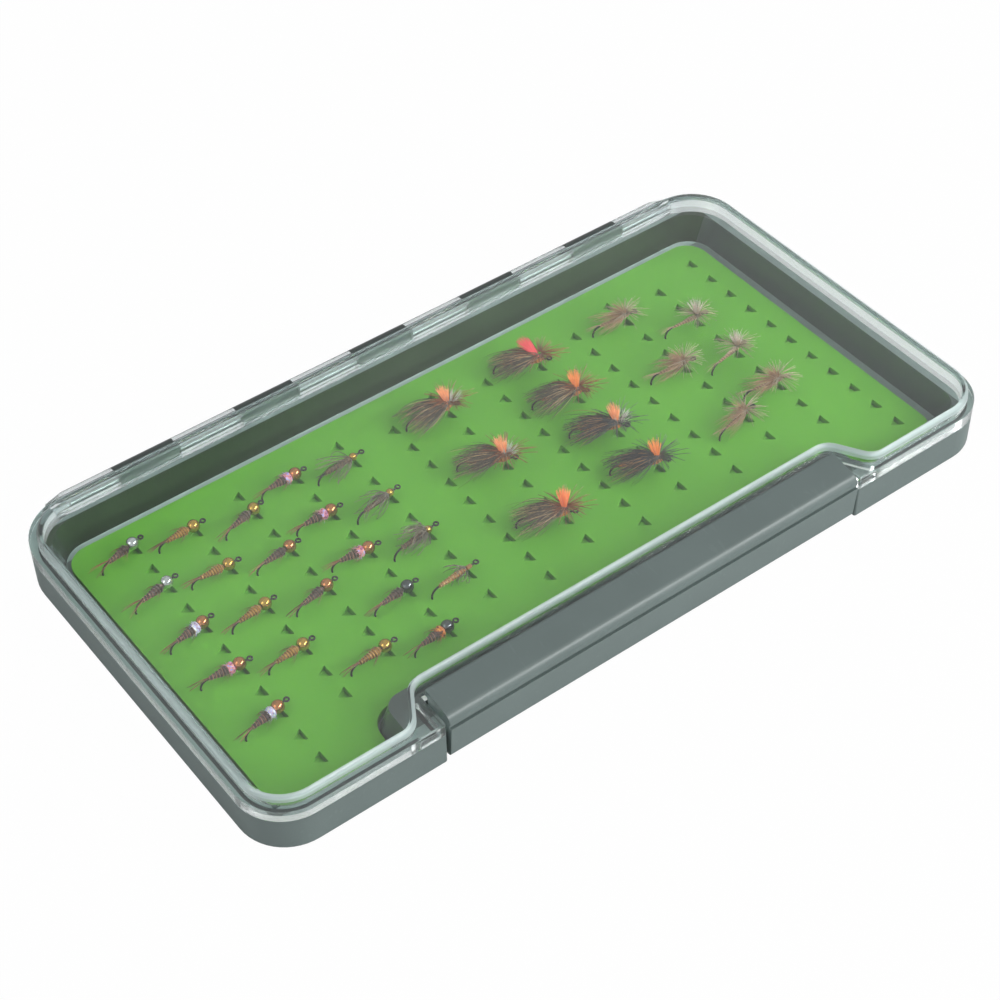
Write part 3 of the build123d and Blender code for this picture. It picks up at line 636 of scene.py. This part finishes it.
WIRE_RADIUS = 0.24
BEAD_RADIUS = 1.45
BEAD_HALF_LENGTH = 1.2
COUNTERSINK = 0.3
BEAD_STEPS = 14
BEAD_SIDES = 28
BODY_STEPS = 56
BODY_SIDES = 16
SLIM_BODY_SIDES = 14
COIL_STEPS_PER_TURN = 14
COIL_SIDES = 5
BODY_ROOT = 0.45      # how far from the shank's middle a body's fibres start
LOWEST_TIP = -1.9     # keeps the fibres above the silicone
TUFT_FOOT = 0.3


def bead_profile():
    """A bored, slightly countersunk ball."""
    outer = []
    for k in range(BEAD_STEPS + 1):
        turn = pi * k / BEAD_STEPS
        x = -BEAD_RADIUS * cos(turn)
        if abs(x) <= BEAD_HALF_LENGTH:
            outer.append((x, BEAD_RADIUS * sin(turn)))
    rim = (BEAD_RADIUS ** 2 - BEAD_HALF_LENGTH ** 2) ** 0.5
    bore_end = BEAD_HALF_LENGTH - COUNTERSINK
    inner = [(BEAD_HALF_LENGTH, rim), (bore_end, WIRE_RADIUS), (-bore_end, WIRE_RADIUS)]
    return [(-BEAD_HALF_LENGTH, rim)] + outer + inner


def tapered(fat, thin, t):
    """A body's radius at the share t of its length."""
    return fat + (thin - fat) * t ** 0.8


def body_profile(start, end, fat, thin, swell=0.0, ripple=0.05, pitch=0.62):
    """A tapered body with soft segments and rounded ends."""
    outer = []
    for k in range(BODY_STEPS + 1):
        t = k / BODY_STEPS
        x = start + (end - start) * t
        radius = tapered(fat, thin, t) + swell * sin(pi * min(1.0, 1.6 * t))
        ease = min(1.0, 6 * t + 0.35, 6 * (1 - t) + 0.35)
        outer.append((x, radius * ease * (1 + ripple * cos(2 * pi * x / pitch))))
    return [(start, WIRE_RADIUS)] + outer + [(end, WIRE_RADIUS)]


def coil(pile, start, end, fat, thin, wire, pitch):
    """Ribbing wire wound over a body."""
    turns = (end - start) / pitch
    steps = int(turns * COIL_STEPS_PER_TURN)
    path = []
    for k in range(steps + 1):
        t = k / steps
        radius = tapered(fat, thin, t) + 0.5 * wire
        turn = 2 * pi * turns * t
        behind = start + (end - start) * t
        path.append(Vector((-behind, radius * cos(turn), radius * sin(turn))))
    pile.tube(path, [wire] * len(path), COIL_SIDES, tone=RIB_MARK)


def spray(pile, count, root, reach, fan, lift, radius, droop, steps=4, taper=0.75):
    """Fibres from round the shank at root, sweeping back by reach and out by fan (each a range)."""
    for _ in range(count):
        turn = rng.uniform(0, 2 * pi)
        out = rng.uniform(*fan)
        back = rng.uniform(*reach)
        start = Vector((-root, BODY_ROOT * cos(turn), BODY_ROOT * sin(turn)))
        tip = Vector((-root - back, out * cos(turn), max(LOWEST_TIP, out * sin(turn) + lift)))
        bow = Vector((0, rng.uniform(-droop, droop), rng.uniform(-0.2, droop)))
        pile.strand(start, tip, bow, radius * rng.uniform(0.8, 1.2), steps, taper)


def tuft(pile, count, foot, height, spread, lean, radius):
    """An upright tuft, as of a wing post, that widens towards its top."""
    for _ in range(count):
        turn = rng.uniform(0, 2 * pi)
        share = rng.random() ** 0.5
        start = foot + Vector((cos(turn), sin(turn), 0)) * TUFT_FOOT * share
        top = foot + Vector((lean[0], lean[1], height * rng.uniform(0.8, 1.0)))
        top += Vector((cos(turn), sin(turn), 0)) * spread * share
        pile.strand(start, top, Vector((0, 0, 0.1)), radius, steps=3)


# ------------------------------------------------------------------ nymphs

BEAD_METALS = {
    "silver": ((0.74, 0.75, 0.77), 0.03),
    "copper": ((0.66, 0.29, 0.13), 0.05),
    "gold": ((0.68, 0.42, 0.11), 0.05),
    "black": ((0.15, 0.16, 0.17), 0.05),
}
# a nymph quill's dark, light and rib tones
QUILL_TONES = {
    "tan": ((0.20, 0.085, 0.012), (0.56, 0.28, 0.045), (0.12, 0.05, 0.015)),
    "dark": ((0.016, 0.010, 0.010), (0.070, 0.038, 0.030), (0.36, 0.17, 0.11)),
}
COLLAR_TONES = {
    "pink": ((0.35, 0.10, 0.22), (0.80, 0.22, 0.40), (0.85, 0.38, 0.22), (0.50, 0.42, 0.85)),
    "lilac": ((0.30, 0.22, 0.45), (0.75, 0.55, 0.62), (0.40, 0.45, 0.90), (0.90, 0.86, 0.86)),
    "orange": ((0.10, 0.03, 0.02), (0.85, 0.25, 0.04), (0.60, 0.12, 0.03), (0.95, 0.50, 0.15)),
}
NYMPH_START = 1.25
NYMPH_END = 7.2
NYMPH_RIB_PITCH = 0.72
QUILL_TURNS = 11.0
COLLAR_END = 2.3
COLLAR_OVERLAP = 0.9
THORAX_FIBRES = 26
COLLAR_FIBRES = 64
TAIL_FIBRES = 6
TAIL_LENGTH = (3.4, 4.6)
TAIL_FORK = 0.45
WIDE_TAIL_FORK = 1.3
LEG_FIBRES = 5


def bead_heads(colour, finish):
    """The bead heads of one metal."""
    pile = Pile()
    for column, row, turn, bead, body, collar in NYMPHS:
        if bead == colour:
            pile.stand(stance(column, row, turn, NYMPH_HEIGHT))
            pile.lathe(bead_profile(), BEAD_SIDES)
    pile.piece(colour + "_bead_heads", finish, colour + "_beads", slot=colour + "_metal")


def nymph_bodies(kind, finish):
    """The ribbed quill bodies of one kind, with short fuzz over the thorax."""
    pile = Pile()
    for column, row, turn, bead, body, collar in NYMPHS:
        if body != kind:
            continue
        start = COLLAR_END if collar else NYMPH_START
        pile.stand(stance(column, row, turn, NYMPH_HEIGHT))
        quill = body_profile(start, NYMPH_END, fat=0.95, thin=0.40, swell=0.16, ripple=0.12,
                             pitch=NYMPH_RIB_PITCH)
        pile.lathe(quill, BODY_SIDES)
        spray(pile, THORAX_FIBRES, start + 0.5, reach=(0.4, 1.5), fan=(0.9, 1.45), lift=0.1,
              radius=0.06, droop=0.15)
        coil(pile, start + 1.4, NYMPH_END - 0.1, fat=0.90, thin=0.42, wire=0.08,
             pitch=NYMPH_RIB_PITCH)
    pile.piece(kind + "_bodies", finish, kind + "_nymph_bodies", slot=kind + "_dubbing")


def collars(colour):
    """The sparkling collars of one colour, behind the beads."""
    pile = Pile()
    for column, row, turn, bead, body, collar in NYMPHS:
        if collar != colour:
            continue
        pile.stand(stance(column, row, turn, NYMPH_HEIGHT))
        core = body_profile(NYMPH_START, COLLAR_END + COLLAR_OVERLAP, fat=1.15, thin=0.95,
                            swell=0.2, ripple=0.03)
        pile.lathe(core, BODY_SIDES)
        spray(pile, COLLAR_FIBRES, NYMPH_START + 0.7, reach=(-0.3, 1.9), fan=(1.2, 1.9), lift=-0.1,
              radius=0.07, droop=0.3)
    finish = sparkle(colour + "_sparkle", COLLAR_TONES[colour])
    pile.piece(colour + "_collars", finish, "nymph_collars", slot="pink_dubbing")


def tails_and_legs():
    """Six tail fibres and ten short legs on each nymph."""
    pile = Pile()
    for column, row, turn, bead, body, collar in NYMPHS:
        pile.stand(stance(column, row, turn, NYMPH_HEIGHT))
        fork = WIDE_TAIL_FORK if bead == "silver" else TAIL_FORK
        for k in range(TAIL_FIBRES):
            side = fork * (1 if k % 2 else -1) + rng.uniform(-0.25, 0.25)
            root = Vector((-NYMPH_END + 0.6, 0.1 * side, 0.25))
            tip = Vector((-NYMPH_END - rng.uniform(*TAIL_LENGTH), side, rng.uniform(-0.4, 0.1)))
            pile.strand(root, tip, Vector((0, 0, 0.2)), radius=0.13, steps=5)
        for side in (-1, 1):
            for _ in range(LEG_FIBRES):
                root = Vector((-2.2, 0.5 * side, 0.1))
                back = rng.uniform(0, 1.8)
                tip = Vector((-3.6 - back, side * rng.uniform(1.5, 2.3), rng.uniform(-1.2, 0.2)))
                pile.strand(root, tip, Vector((0, 0.3 * side, 0.3)), radius=0.05)
    pheasant = fibre("pheasant_fibre", (0.14, 0.045, 0.015), (0.34, 0.13, 0.045))
    pile.piece("nymph_tail_fibres", pheasant, "nymph_tails", slot="tail_fibre")


for colour, (tone, roughness) in BEAD_METALS.items():
    bead_heads(colour, metal("polished_" + colour, tone, roughness))
for kind, tones in QUILL_TONES.items():
    nymph_bodies(kind, wound_thread(kind + "_quill", *tones, QUILL_TURNS))
for colour in COLLAR_TONES:
    collars(colour)
tails_and_legs()

# ------------------------------------------------------------------ wet flies

WET_BODY_END = 8.0
WET_HERL_TURNS = 9.0
WET_BEAD = [(-0.75, 0.5), (-0.6, 0.72), (-0.2, 0.92), (0.3, 0.92), (0.7, 0.72), (0.85, 0.51)]
WET_BEAD_SIDES = 20
# how many hackle fibres there are, how far they sweep back and how far out
WET_FIBRES = {
    "long": (26, (3.5, 8.6), (1.4, 3.9)),
    "bushy": (64, (1.0, 7.6), (1.6, 3.6)),
    "amber": (26, (1.0, 4.4), (1.4, 3.0)),
}


def wet_flies():
    """Slim ribbed flies with soft swept hackle and, but for the amber one, a small bead."""
    bodies = {"brown": Pile(), "amber": Pile()}
    heads = Pile()
    hackle = Pile()
    for column, row, turn, dressing in WET_FLIES:
        spot = stance(column, row, turn, WET_HEIGHT)
        body = bodies["amber" if dressing == "amber" else "brown"]
        body.stand(spot)
        body.lathe(body_profile(-1.1, 0.4, fat=0.5, thin=0.5, ripple=0.02), SLIM_BODY_SIDES)
        shank = body_profile(0.4, WET_BODY_END, fat=0.72, thin=0.42, swell=0.08, ripple=0.10)
        body.lathe(shank, BODY_SIDES)
        coil(body, 1.2, WET_BODY_END - 0.1, fat=0.76, thin=0.46, wire=0.06, pitch=0.85)
        if dressing != "amber":
            heads.stand(spot)
            heads.lathe(WET_BEAD, WET_BEAD_SIDES)
        hackle.stand(spot)
        count, back, out = WET_FIBRES[dressing]
        spray(hackle, count, 0.7, back, out, lift=0.2, radius=0.105, droop=1.3, steps=7, taper=0.4)
    herl = wound_thread("herl", (0.035, 0.022, 0.016), (0.15, 0.09, 0.055), (0.30, 0.16, 0.08),
                        WET_HERL_TURNS)
    bodies["brown"].piece("wet_fly_bodies", herl, "wet_bodies", slot="dark_dubbing")
    floss = wound_thread("amber_floss", (0.16, 0.05, 0.015), (0.55, 0.22, 0.05), (0.60, 0.42, 0.18),
                         WET_HERL_TURNS)
    bodies["amber"].piece("amber_fly_body", floss, "wet_bodies", slot="dark_dubbing")
    heads.piece("wet_fly_beads", metal("small_gold_beads", *BEAD_METALS["gold"]), "wet_bodies",
                slot="gold_metal")
    partridge = fibre("partridge", (0.060, 0.042, 0.030), (0.27, 0.21, 0.15), 0.6)
    hackle.piece("wet_fly_hackle", partridge, "wet_hackles", slot="grey_hackle")


wet_flies()

# ------------------------------------------------------------------ sedges

WING_STRANDS = 250
WING_LENGTH = (6.2, 12.4)
WING_HALF_SPREAD = 5.2
WING_LEAN = 0.9       # the wing lies a little to one side of the shank
HAIR_HEAD_STRANDS = 40
SEDGE_HACKLE_STRANDS = 78
SEDGE_HACKLE_REACH = (3.0, 6.2)
SEDGE_BODY_END = 8.6
SEDGE_FLOSS_TURNS = 12.0
POST_STRANDS = 110
WHITE_TUFT_STRANDS = 70
# painted glow for the bright yarns, standing in for their fluorescent brightness
PAINTED_YARN_GLOW = 0.35
# how high a post stands, and how far it leans ahead and aside, in millimetres
POST_HEIGHTS = {"orange": 5.0, "red": 4.7, "mixed": 4.9, "bright": 5.6}
POST_LEANS = {
    "orange": (-0.8, 0.3),
    "red": (-3.4, 1.2),
    "mixed": (-0.9, 0.4),
    "bright": (-0.2, 0.4),
}
# a wing's root and tip tones and the tone of its few bright hairs
ELK_TONES = {
    "brown": ((0.045, 0.033, 0.027), (0.23, 0.155, 0.095), (0.58, 0.38, 0.20)),
    "dark": ((0.012, 0.010, 0.014), (0.085, 0.060, 0.052), (0.42, 0.20, 0.08)),
}
SEDGE_HACKLE_TONES = {
    "brown": ((0.22, 0.055, 0.018), (0.42, 0.14, 0.045)),
    "dark": ((0.03, 0.03, 0.035), (0.10, 0.10, 0.10)),
}
# a tuft's piece and yarn, the yarn's root and tip tones, how far its strands part, and its painted
# glow
YARNS = {
    "orange": ("orange_posts", "orange_yarn",
               (0.85, 0.16, 0.03), (1.0, 0.36, 0.10), 0.35, PAINTED_YARN_GLOW),
    "mixed": ("mixed_posts", "orange_poly",
              (0.85, 0.20, 0.06), (0.98, 0.42, 0.20), 0.35, PAINTED_YARN_GLOW),
    "bright": ("bright_posts", "fluorescent_yarn",
               (0.90, 0.13, 0.03), (1.0, 0.32, 0.12), 0.25, PAINTED_YARN_GLOW),
    "white": ("white_tufts", "white_poly",
              (0.62, 0.58, 0.52), (0.86, 0.84, 0.80), 0.3, 0.0),
    "red": ("red_posts", "red_yarn",
            (0.75, 0.03, 0.05), (0.95, 0.12, 0.14), 0.35, PAINTED_YARN_GLOW),
}


def sedge_wings(pile, spot):
    """A roof of elk hair, with the clipped hair heads over the eye."""
    pile.stand(spot)
    for _ in range(WING_STRANDS):
        share = rng.uniform(-1, 1)
        root = Vector((-0.5 - rng.uniform(0, 0.9), 0.95 * share, 0.95 + rng.uniform(0, 0.6)))
        length = rng.uniform(*WING_LENGTH)
        out = WING_HALF_SPREAD * share * rng.uniform(0.4, 1.15) - WING_LEAN
        tip = Vector((-length, out, -0.2 + 2.4 * rng.random() - 1.3 * abs(share)))
        bow = Vector((0, 0.5 * share + rng.uniform(-0.9, 0.9), rng.uniform(0.2, 1.3)))
        pile.strand(root, tip, bow, rng.uniform(0.06, 0.11), steps=6)
    for _ in range(HAIR_HEAD_STRANDS):
        turn = rng.uniform(-1.2, 1.2)
        root = Vector((-0.4, 0.5 * sin(turn), 0.9))
        tip = Vector((0.9, 0.9 * sin(turn), 1.0 + 0.5 * cos(turn)))
        pile.strand(root, tip, Vector((0, 0, 0.1)), radius=0.09, steps=2)


def sedge_hackle(pile, spot):
    """Hackle wound flat round the post, and two feelers ahead."""
    pile.stand(spot)
    for _ in range(SEDGE_HACKLE_STRANDS):
        turn = rng.uniform(0, 2 * pi)
        reach = rng.uniform(*SEDGE_HACKLE_REACH)
        root = Vector((0.1 + 0.45 * cos(turn), 0.45 * sin(turn), 1.9))
        tip = Vector((0.1 + reach * cos(turn), reach * sin(turn), 2.4 + rng.uniform(-1.4, 1.6)))
        pile.strand(root, tip, Vector((0, 0, 0.3)), radius=0.095, steps=5, taper=0.45)
    for side in (-1, 1):
        root = Vector((0.3, 0.2 * side, 0.6))
        tip = Vector((7.2, 0.8 * side, 1.7))
        pile.strand(root, tip, Vector((0, 0, 0.4)), radius=0.11, steps=6, taper=0.4)


def sedges():
    """Hair-winged flies with a bright post, and a white tuft beside the mixed posts."""
    bodies = Pile()
    wings = {kind: Pile() for kind in ELK_TONES}
    hackles = {kind: Pile() for kind in SEDGE_HACKLE_TONES}
    tufts = {colour: Pile() for colour in YARNS}
    for column, row, turn, post, wing in SEDGES:
        spot = stance(column, row, turn, SEDGE_HEIGHT)
        bodies.stand(spot)
        bodies.lathe(body_profile(-1.1, SEDGE_BODY_END, fat=0.62, thin=0.5, swell=0.25), BODY_SIDES)
        sedge_wings(wings[wing], spot)
        sedge_hackle(hackles[wing], spot)
        tufts[post].stand(spot)
        tuft(tufts[post], POST_STRANDS, Vector((-0.1, 0, 0.8)), POST_HEIGHTS[post], spread=1.6,
             lean=POST_LEANS[post], radius=0.13)
        if post == "mixed":
            tufts["white"].stand(spot)
            tuft(tufts["white"], WHITE_TUFT_STRANDS, Vector((0.5, -0.2, 0.8)), height=3.6,
                 spread=2.4, lean=(0.6, -0.5), radius=0.07)
    floss = wound_thread("orange_floss", (0.35, 0.10, 0.02), (0.75, 0.28, 0.06), (0.20, 0.10, 0.05),
                         SEDGE_FLOSS_TURNS)
    bodies.piece("sedge_fly_bodies", floss, "sedge_bodies", slot="dark_dubbing")
    for kind, (root, tip, glint) in ELK_TONES.items():
        elk = fibre("elk_hair_" + kind, root, tip, 0.7, glint=glint)
        wings[kind].piece(kind + "_sedge_wings", elk, "sedge_wings", slot="elk_hair")
    for kind, (root, tip) in SEDGE_HACKLE_TONES.items():
        cock = fibre("cock_hackle_" + kind, root, tip)
        hackles[kind].piece(kind + "_sedge_hackle", cock, "sedge_hackles", slot="brown_hackle")
    for colour, (name, yarn, root, tip, spread, glow) in YARNS.items():
        finish = fibre(yarn, root, tip, spread, glow=glow)
        tufts[colour].piece(name, finish, "sedge_posts", slot="orange_yarn")


sedges()

# ------------------------------------------------------------------ pale flies

PALE_BODY_END = 7.4
PALE_TAIL_FIBRES = 9
PALE_HACKLE_STRANDS = 95
PALE_HACKLE_REACH = (2.6, 5.8)
PALE_POST_STRANDS = 90
RUST_TUFT_STRANDS = 70
RUST_WING_STRANDS = 90


def pale_flies():
    """Slim pale flies: some with a white post, some with a soft rust wing."""
    bodies = Pile()
    tails = Pile()
    posts = Pile()
    hackle = Pile()
    rust = Pile()
    for column, row, turn, hair in PALE_FLIES:
        spot = stance(column, row, turn, PALE_HEIGHT)
        bodies.stand(spot)
        slim = body_profile(-1.1, PALE_BODY_END, fat=0.5, thin=0.32, swell=0.12)
        bodies.lathe(slim, SLIM_BODY_SIDES)
        tails.stand(spot)
        for _ in range(PALE_TAIL_FIBRES):
            back = PALE_BODY_END + rng.uniform(*TAIL_LENGTH)
            tip = Vector((-back, rng.uniform(-0.9, 0.9), rng.uniform(-0.2, 0.5)))
            root = Vector((-PALE_BODY_END + 0.4, 0, 0.25))
            tails.strand(root, tip, Vector((0, 0, 0.2)), radius=0.06)
        hackle.stand(spot)
        for _ in range(PALE_HACKLE_STRANDS):
            around = rng.uniform(0, 2 * pi)
            reach = rng.uniform(*PALE_HACKLE_REACH)
            root = Vector((-0.2, 0.35 * cos(around), 0.8))
            lift = 1.0 + rng.uniform(-1.0, 1.6)
            tip = Vector((-0.2 + reach * cos(around), reach * sin(around), lift))
            hackle.strand(root, tip, Vector((0, 0, 0.3)), radius=0.06, taper=0.4)
        if hair == "white":
            posts.stand(spot)
            tuft(posts, PALE_POST_STRANDS, Vector((-0.2, 0, 0.6)), height=3.7, spread=2.0,
                 lean=(-0.5, 0.2), radius=0.09)
        else:
            rust.stand(spot)
            tuft(rust, RUST_TUFT_STRANDS, Vector((-0.4, 0, 0.5)), height=3.1, spread=2.2,
                 lean=(-2.0, 0.3), radius=0.08)
            spray(rust, RUST_WING_STRANDS, 0.6, reach=(3.0, 9.0), fan=(1.0, 3.2), lift=0.6,
                  radius=0.07, droop=0.6)
    floss = wound_thread("tan_floss", (0.20, 0.10, 0.05), (0.50, 0.30, 0.18), (0.12, 0.07, 0.05),
                         SEDGE_FLOSS_TURNS)
    bodies.piece("pale_fly_bodies", floss, "pale_bodies", slot="tan_dubbing")
    microfibre = fibre("microfibre", (0.35, 0.18, 0.10), (0.55, 0.36, 0.22))
    tails.piece("pale_fly_tails", microfibre, "pale_tails", slot="tail_fibre")
    calf = fibre("calf_hair", (0.85, 0.40, 0.20), (0.92, 0.90, 0.86), 0.2)
    posts.piece("white_posts", calf, "pale_posts", slot="pale_hair")
    rust_hair = fibre("rust_hair", (0.42, 0.17, 0.08), (0.62, 0.37, 0.22), 0.4)
    rust.piece("rust_wings", rust_hair, "pale_posts", slot="pale_hair")
    ginger = fibre("ginger_hackle", (0.44, 0.29, 0.19), (0.66, 0.50, 0.38))
    hackle.piece("pale_fly_hackle", ginger, "pale_hackles", slot="pale_hackle")


pale_flies()

# ------------------------------------------------------------------ floor, light and camera

WHITE = (1, 1, 1, 1)
AMBIENT_TONE = (0.95, 0.98, 1.0, 1.0)
AMBIENT = 0.33
# how bright the room looks in shiny surfaces, by the sine of the height above the floor
ROOM_BANDS = [(0.0, 0.90), (0.14, 1.0), (0.26, 0.42), (0.38, 0.30), (0.48, 1.0), (0.60, 0.30)]
# the panel overhead: the way it lies, its soft edge, the height it starts from, its level
PANEL_SIDE = (0.2926, -0.7676, 0.5703)
PANEL_SOFTNESS = 0.016
PANEL_LOW = 0.55
PANEL_LEVEL = 0.62
FLOOR_HALF = 2.0
FLOOR_WHITENESS = 0.985
FLOOR_THROUGH_GLASS = 0.70


def world_light():
    """Even studio light. Shiny surfaces also see a pale panel overhead and bands round the room."""
    w = Finish("studio", bpy.data.worlds)
    bpy.context.scene.world = w.material
    towards = w.node("TexCoord", out="Generated")
    up = w.node("SeparateXYZ", None, {"Vector": towards}, out="Z")
    bands = w.ramp(up, [(z, (level,) * 3) for z, level in ROOM_BANDS])
    dot = {"operation": "DOT_PRODUCT"}
    over = w.node("VectorMath", dot, {0: towards, 1: PANEL_SIDE}, out="Value")
    panel = ((over + PANEL_SOFTNESS) / (2 * PANEL_SOFTNESS)).clamped() * (up > PANEL_LOW)
    room = w.mix(panel, bands, (PANEL_LEVEL,) * 3, "LIGHTEN")
    mirrored = w.node("LightPath", out="Is Glossy Ray")
    shiny = mirrored.larger(w.node("LightPath", out="Is Transmission Ray"))
    even = w.node("Background", None, {"Color": AMBIENT_TONE, "Strength": AMBIENT})
    seen_in_shine = w.node("Background", None, {"Color": room})
    white = w.node("Background", None, {"Color": WHITE, "Strength": 1.0})
    lit = w.node("MixShader", None, {0: shiny, 1: even, 2: seen_in_shine})
    camera_ray = w.node("LightPath", out="Is Camera Ray")
    w.surface(w.node("MixShader", None, {0: camera_ray, 1: lit, 2: white}), "World")


def pale_floor():
    """A white floor that keeps the object's shadow."""
    mesh = bpy.data.meshes.new("floor")
    h = FLOOR_HALF
    mesh.from_pydata([(-h, -h, 0), (h, -h, 0), (h, h, 0), (-h, h, 0)], [], [(0, 1, 2, 3)])
    made = bpy.data.objects.new("floor", mesh)
    bpy.context.collection.objects.link(made)
    f = Finish("white_paper")
    fine = f.noise(300.0)
    tone = f.mix(fine, (0.90, 0.90, 0.90), (0.93, 0.93, 0.93))
    paper = f.principled(Base_Color=tone, Roughness=0.9)
    glow = f.node("Emission", None, {"Color": WHITE, "Strength": 1.0})
    straight = f.node("LightPath", out="Is Camera Ray") * FLOOR_WHITENESS
    through = f.node("LightPath", out="Is Transmission Ray") * FLOOR_THROUGH_GLASS
    whitened = f.node("MixShader", None, {0: straight.larger(through), 1: paper, 2: glow})
    mesh.materials.append(f.surface(whitened))


def softbox(name, place, size, power, lights_matt=True, mirrored=True):
    """A lamp aimed at the object.

    It may leave matt surfaces alone, or be seen neither in gloss nor through clear plastic.
    """
    light = bpy.data.lights.new(name, "AREA")
    light.shape = "RECTANGLE"
    light.size, light.size_y = size
    light.energy = power
    made = bpy.data.objects.new(name, light)
    bpy.context.collection.objects.link(made)
    made.location = place
    made.rotation_euler = (-Vector(place)).to_track_quat("-Z", "Y").to_euler()
    made.visible_diffuse = lights_matt
    made.visible_glossy = mirrored
    made.visible_transmission = mirrored


world_light()
pale_floor()
softbox("front_light", (0.65, -0.90, 0.45), size=(0.9, 0.5), power=8.2, mirrored=False)
softbox("left_light", (-0.95, 0.10, 0.80), size=(0.6, 0.6), power=2.0)
# a strip that only shiny edges pick up
softbox("edge_strip", (0.42, -0.62, 0.70), size=(1.1, 0.10), power=9.0, lights_matt=False)

CAMERA_PLACE = (-0.20308, -0.26990, 0.33855)
CAMERA_RIGHT = Vector((0.7966, -0.6044, -0.0125))
CAMERA_DOWN = Vector((-0.4354, -0.5593, -0.7054))
CAMERA_AHEAD = Vector((0.4193, 0.5674, -0.7087))
SENSOR_WIDTH = 36.0
LENS_LENGTH = 78.83
NEAREST_SEEN = 0.01

camera = bpy.data.cameras.new("camera")
camera.sensor_width = SENSOR_WIDTH
camera.lens = LENS_LENGTH
camera.clip_start = NEAREST_SEEN
viewer = bpy.data.objects.new("camera", camera)
bpy.context.collection.objects.link(viewer)
turned = Matrix((CAMERA_RIGHT, -CAMERA_DOWN, -CAMERA_AHEAD)).transposed().to_4x4()
viewer.matrix_world = Matrix.Translation(CAMERA_PLACE) @ turned
scene = bpy.context.scene
scene.camera = viewer
scene.view_settings.view_transform = "Standard"
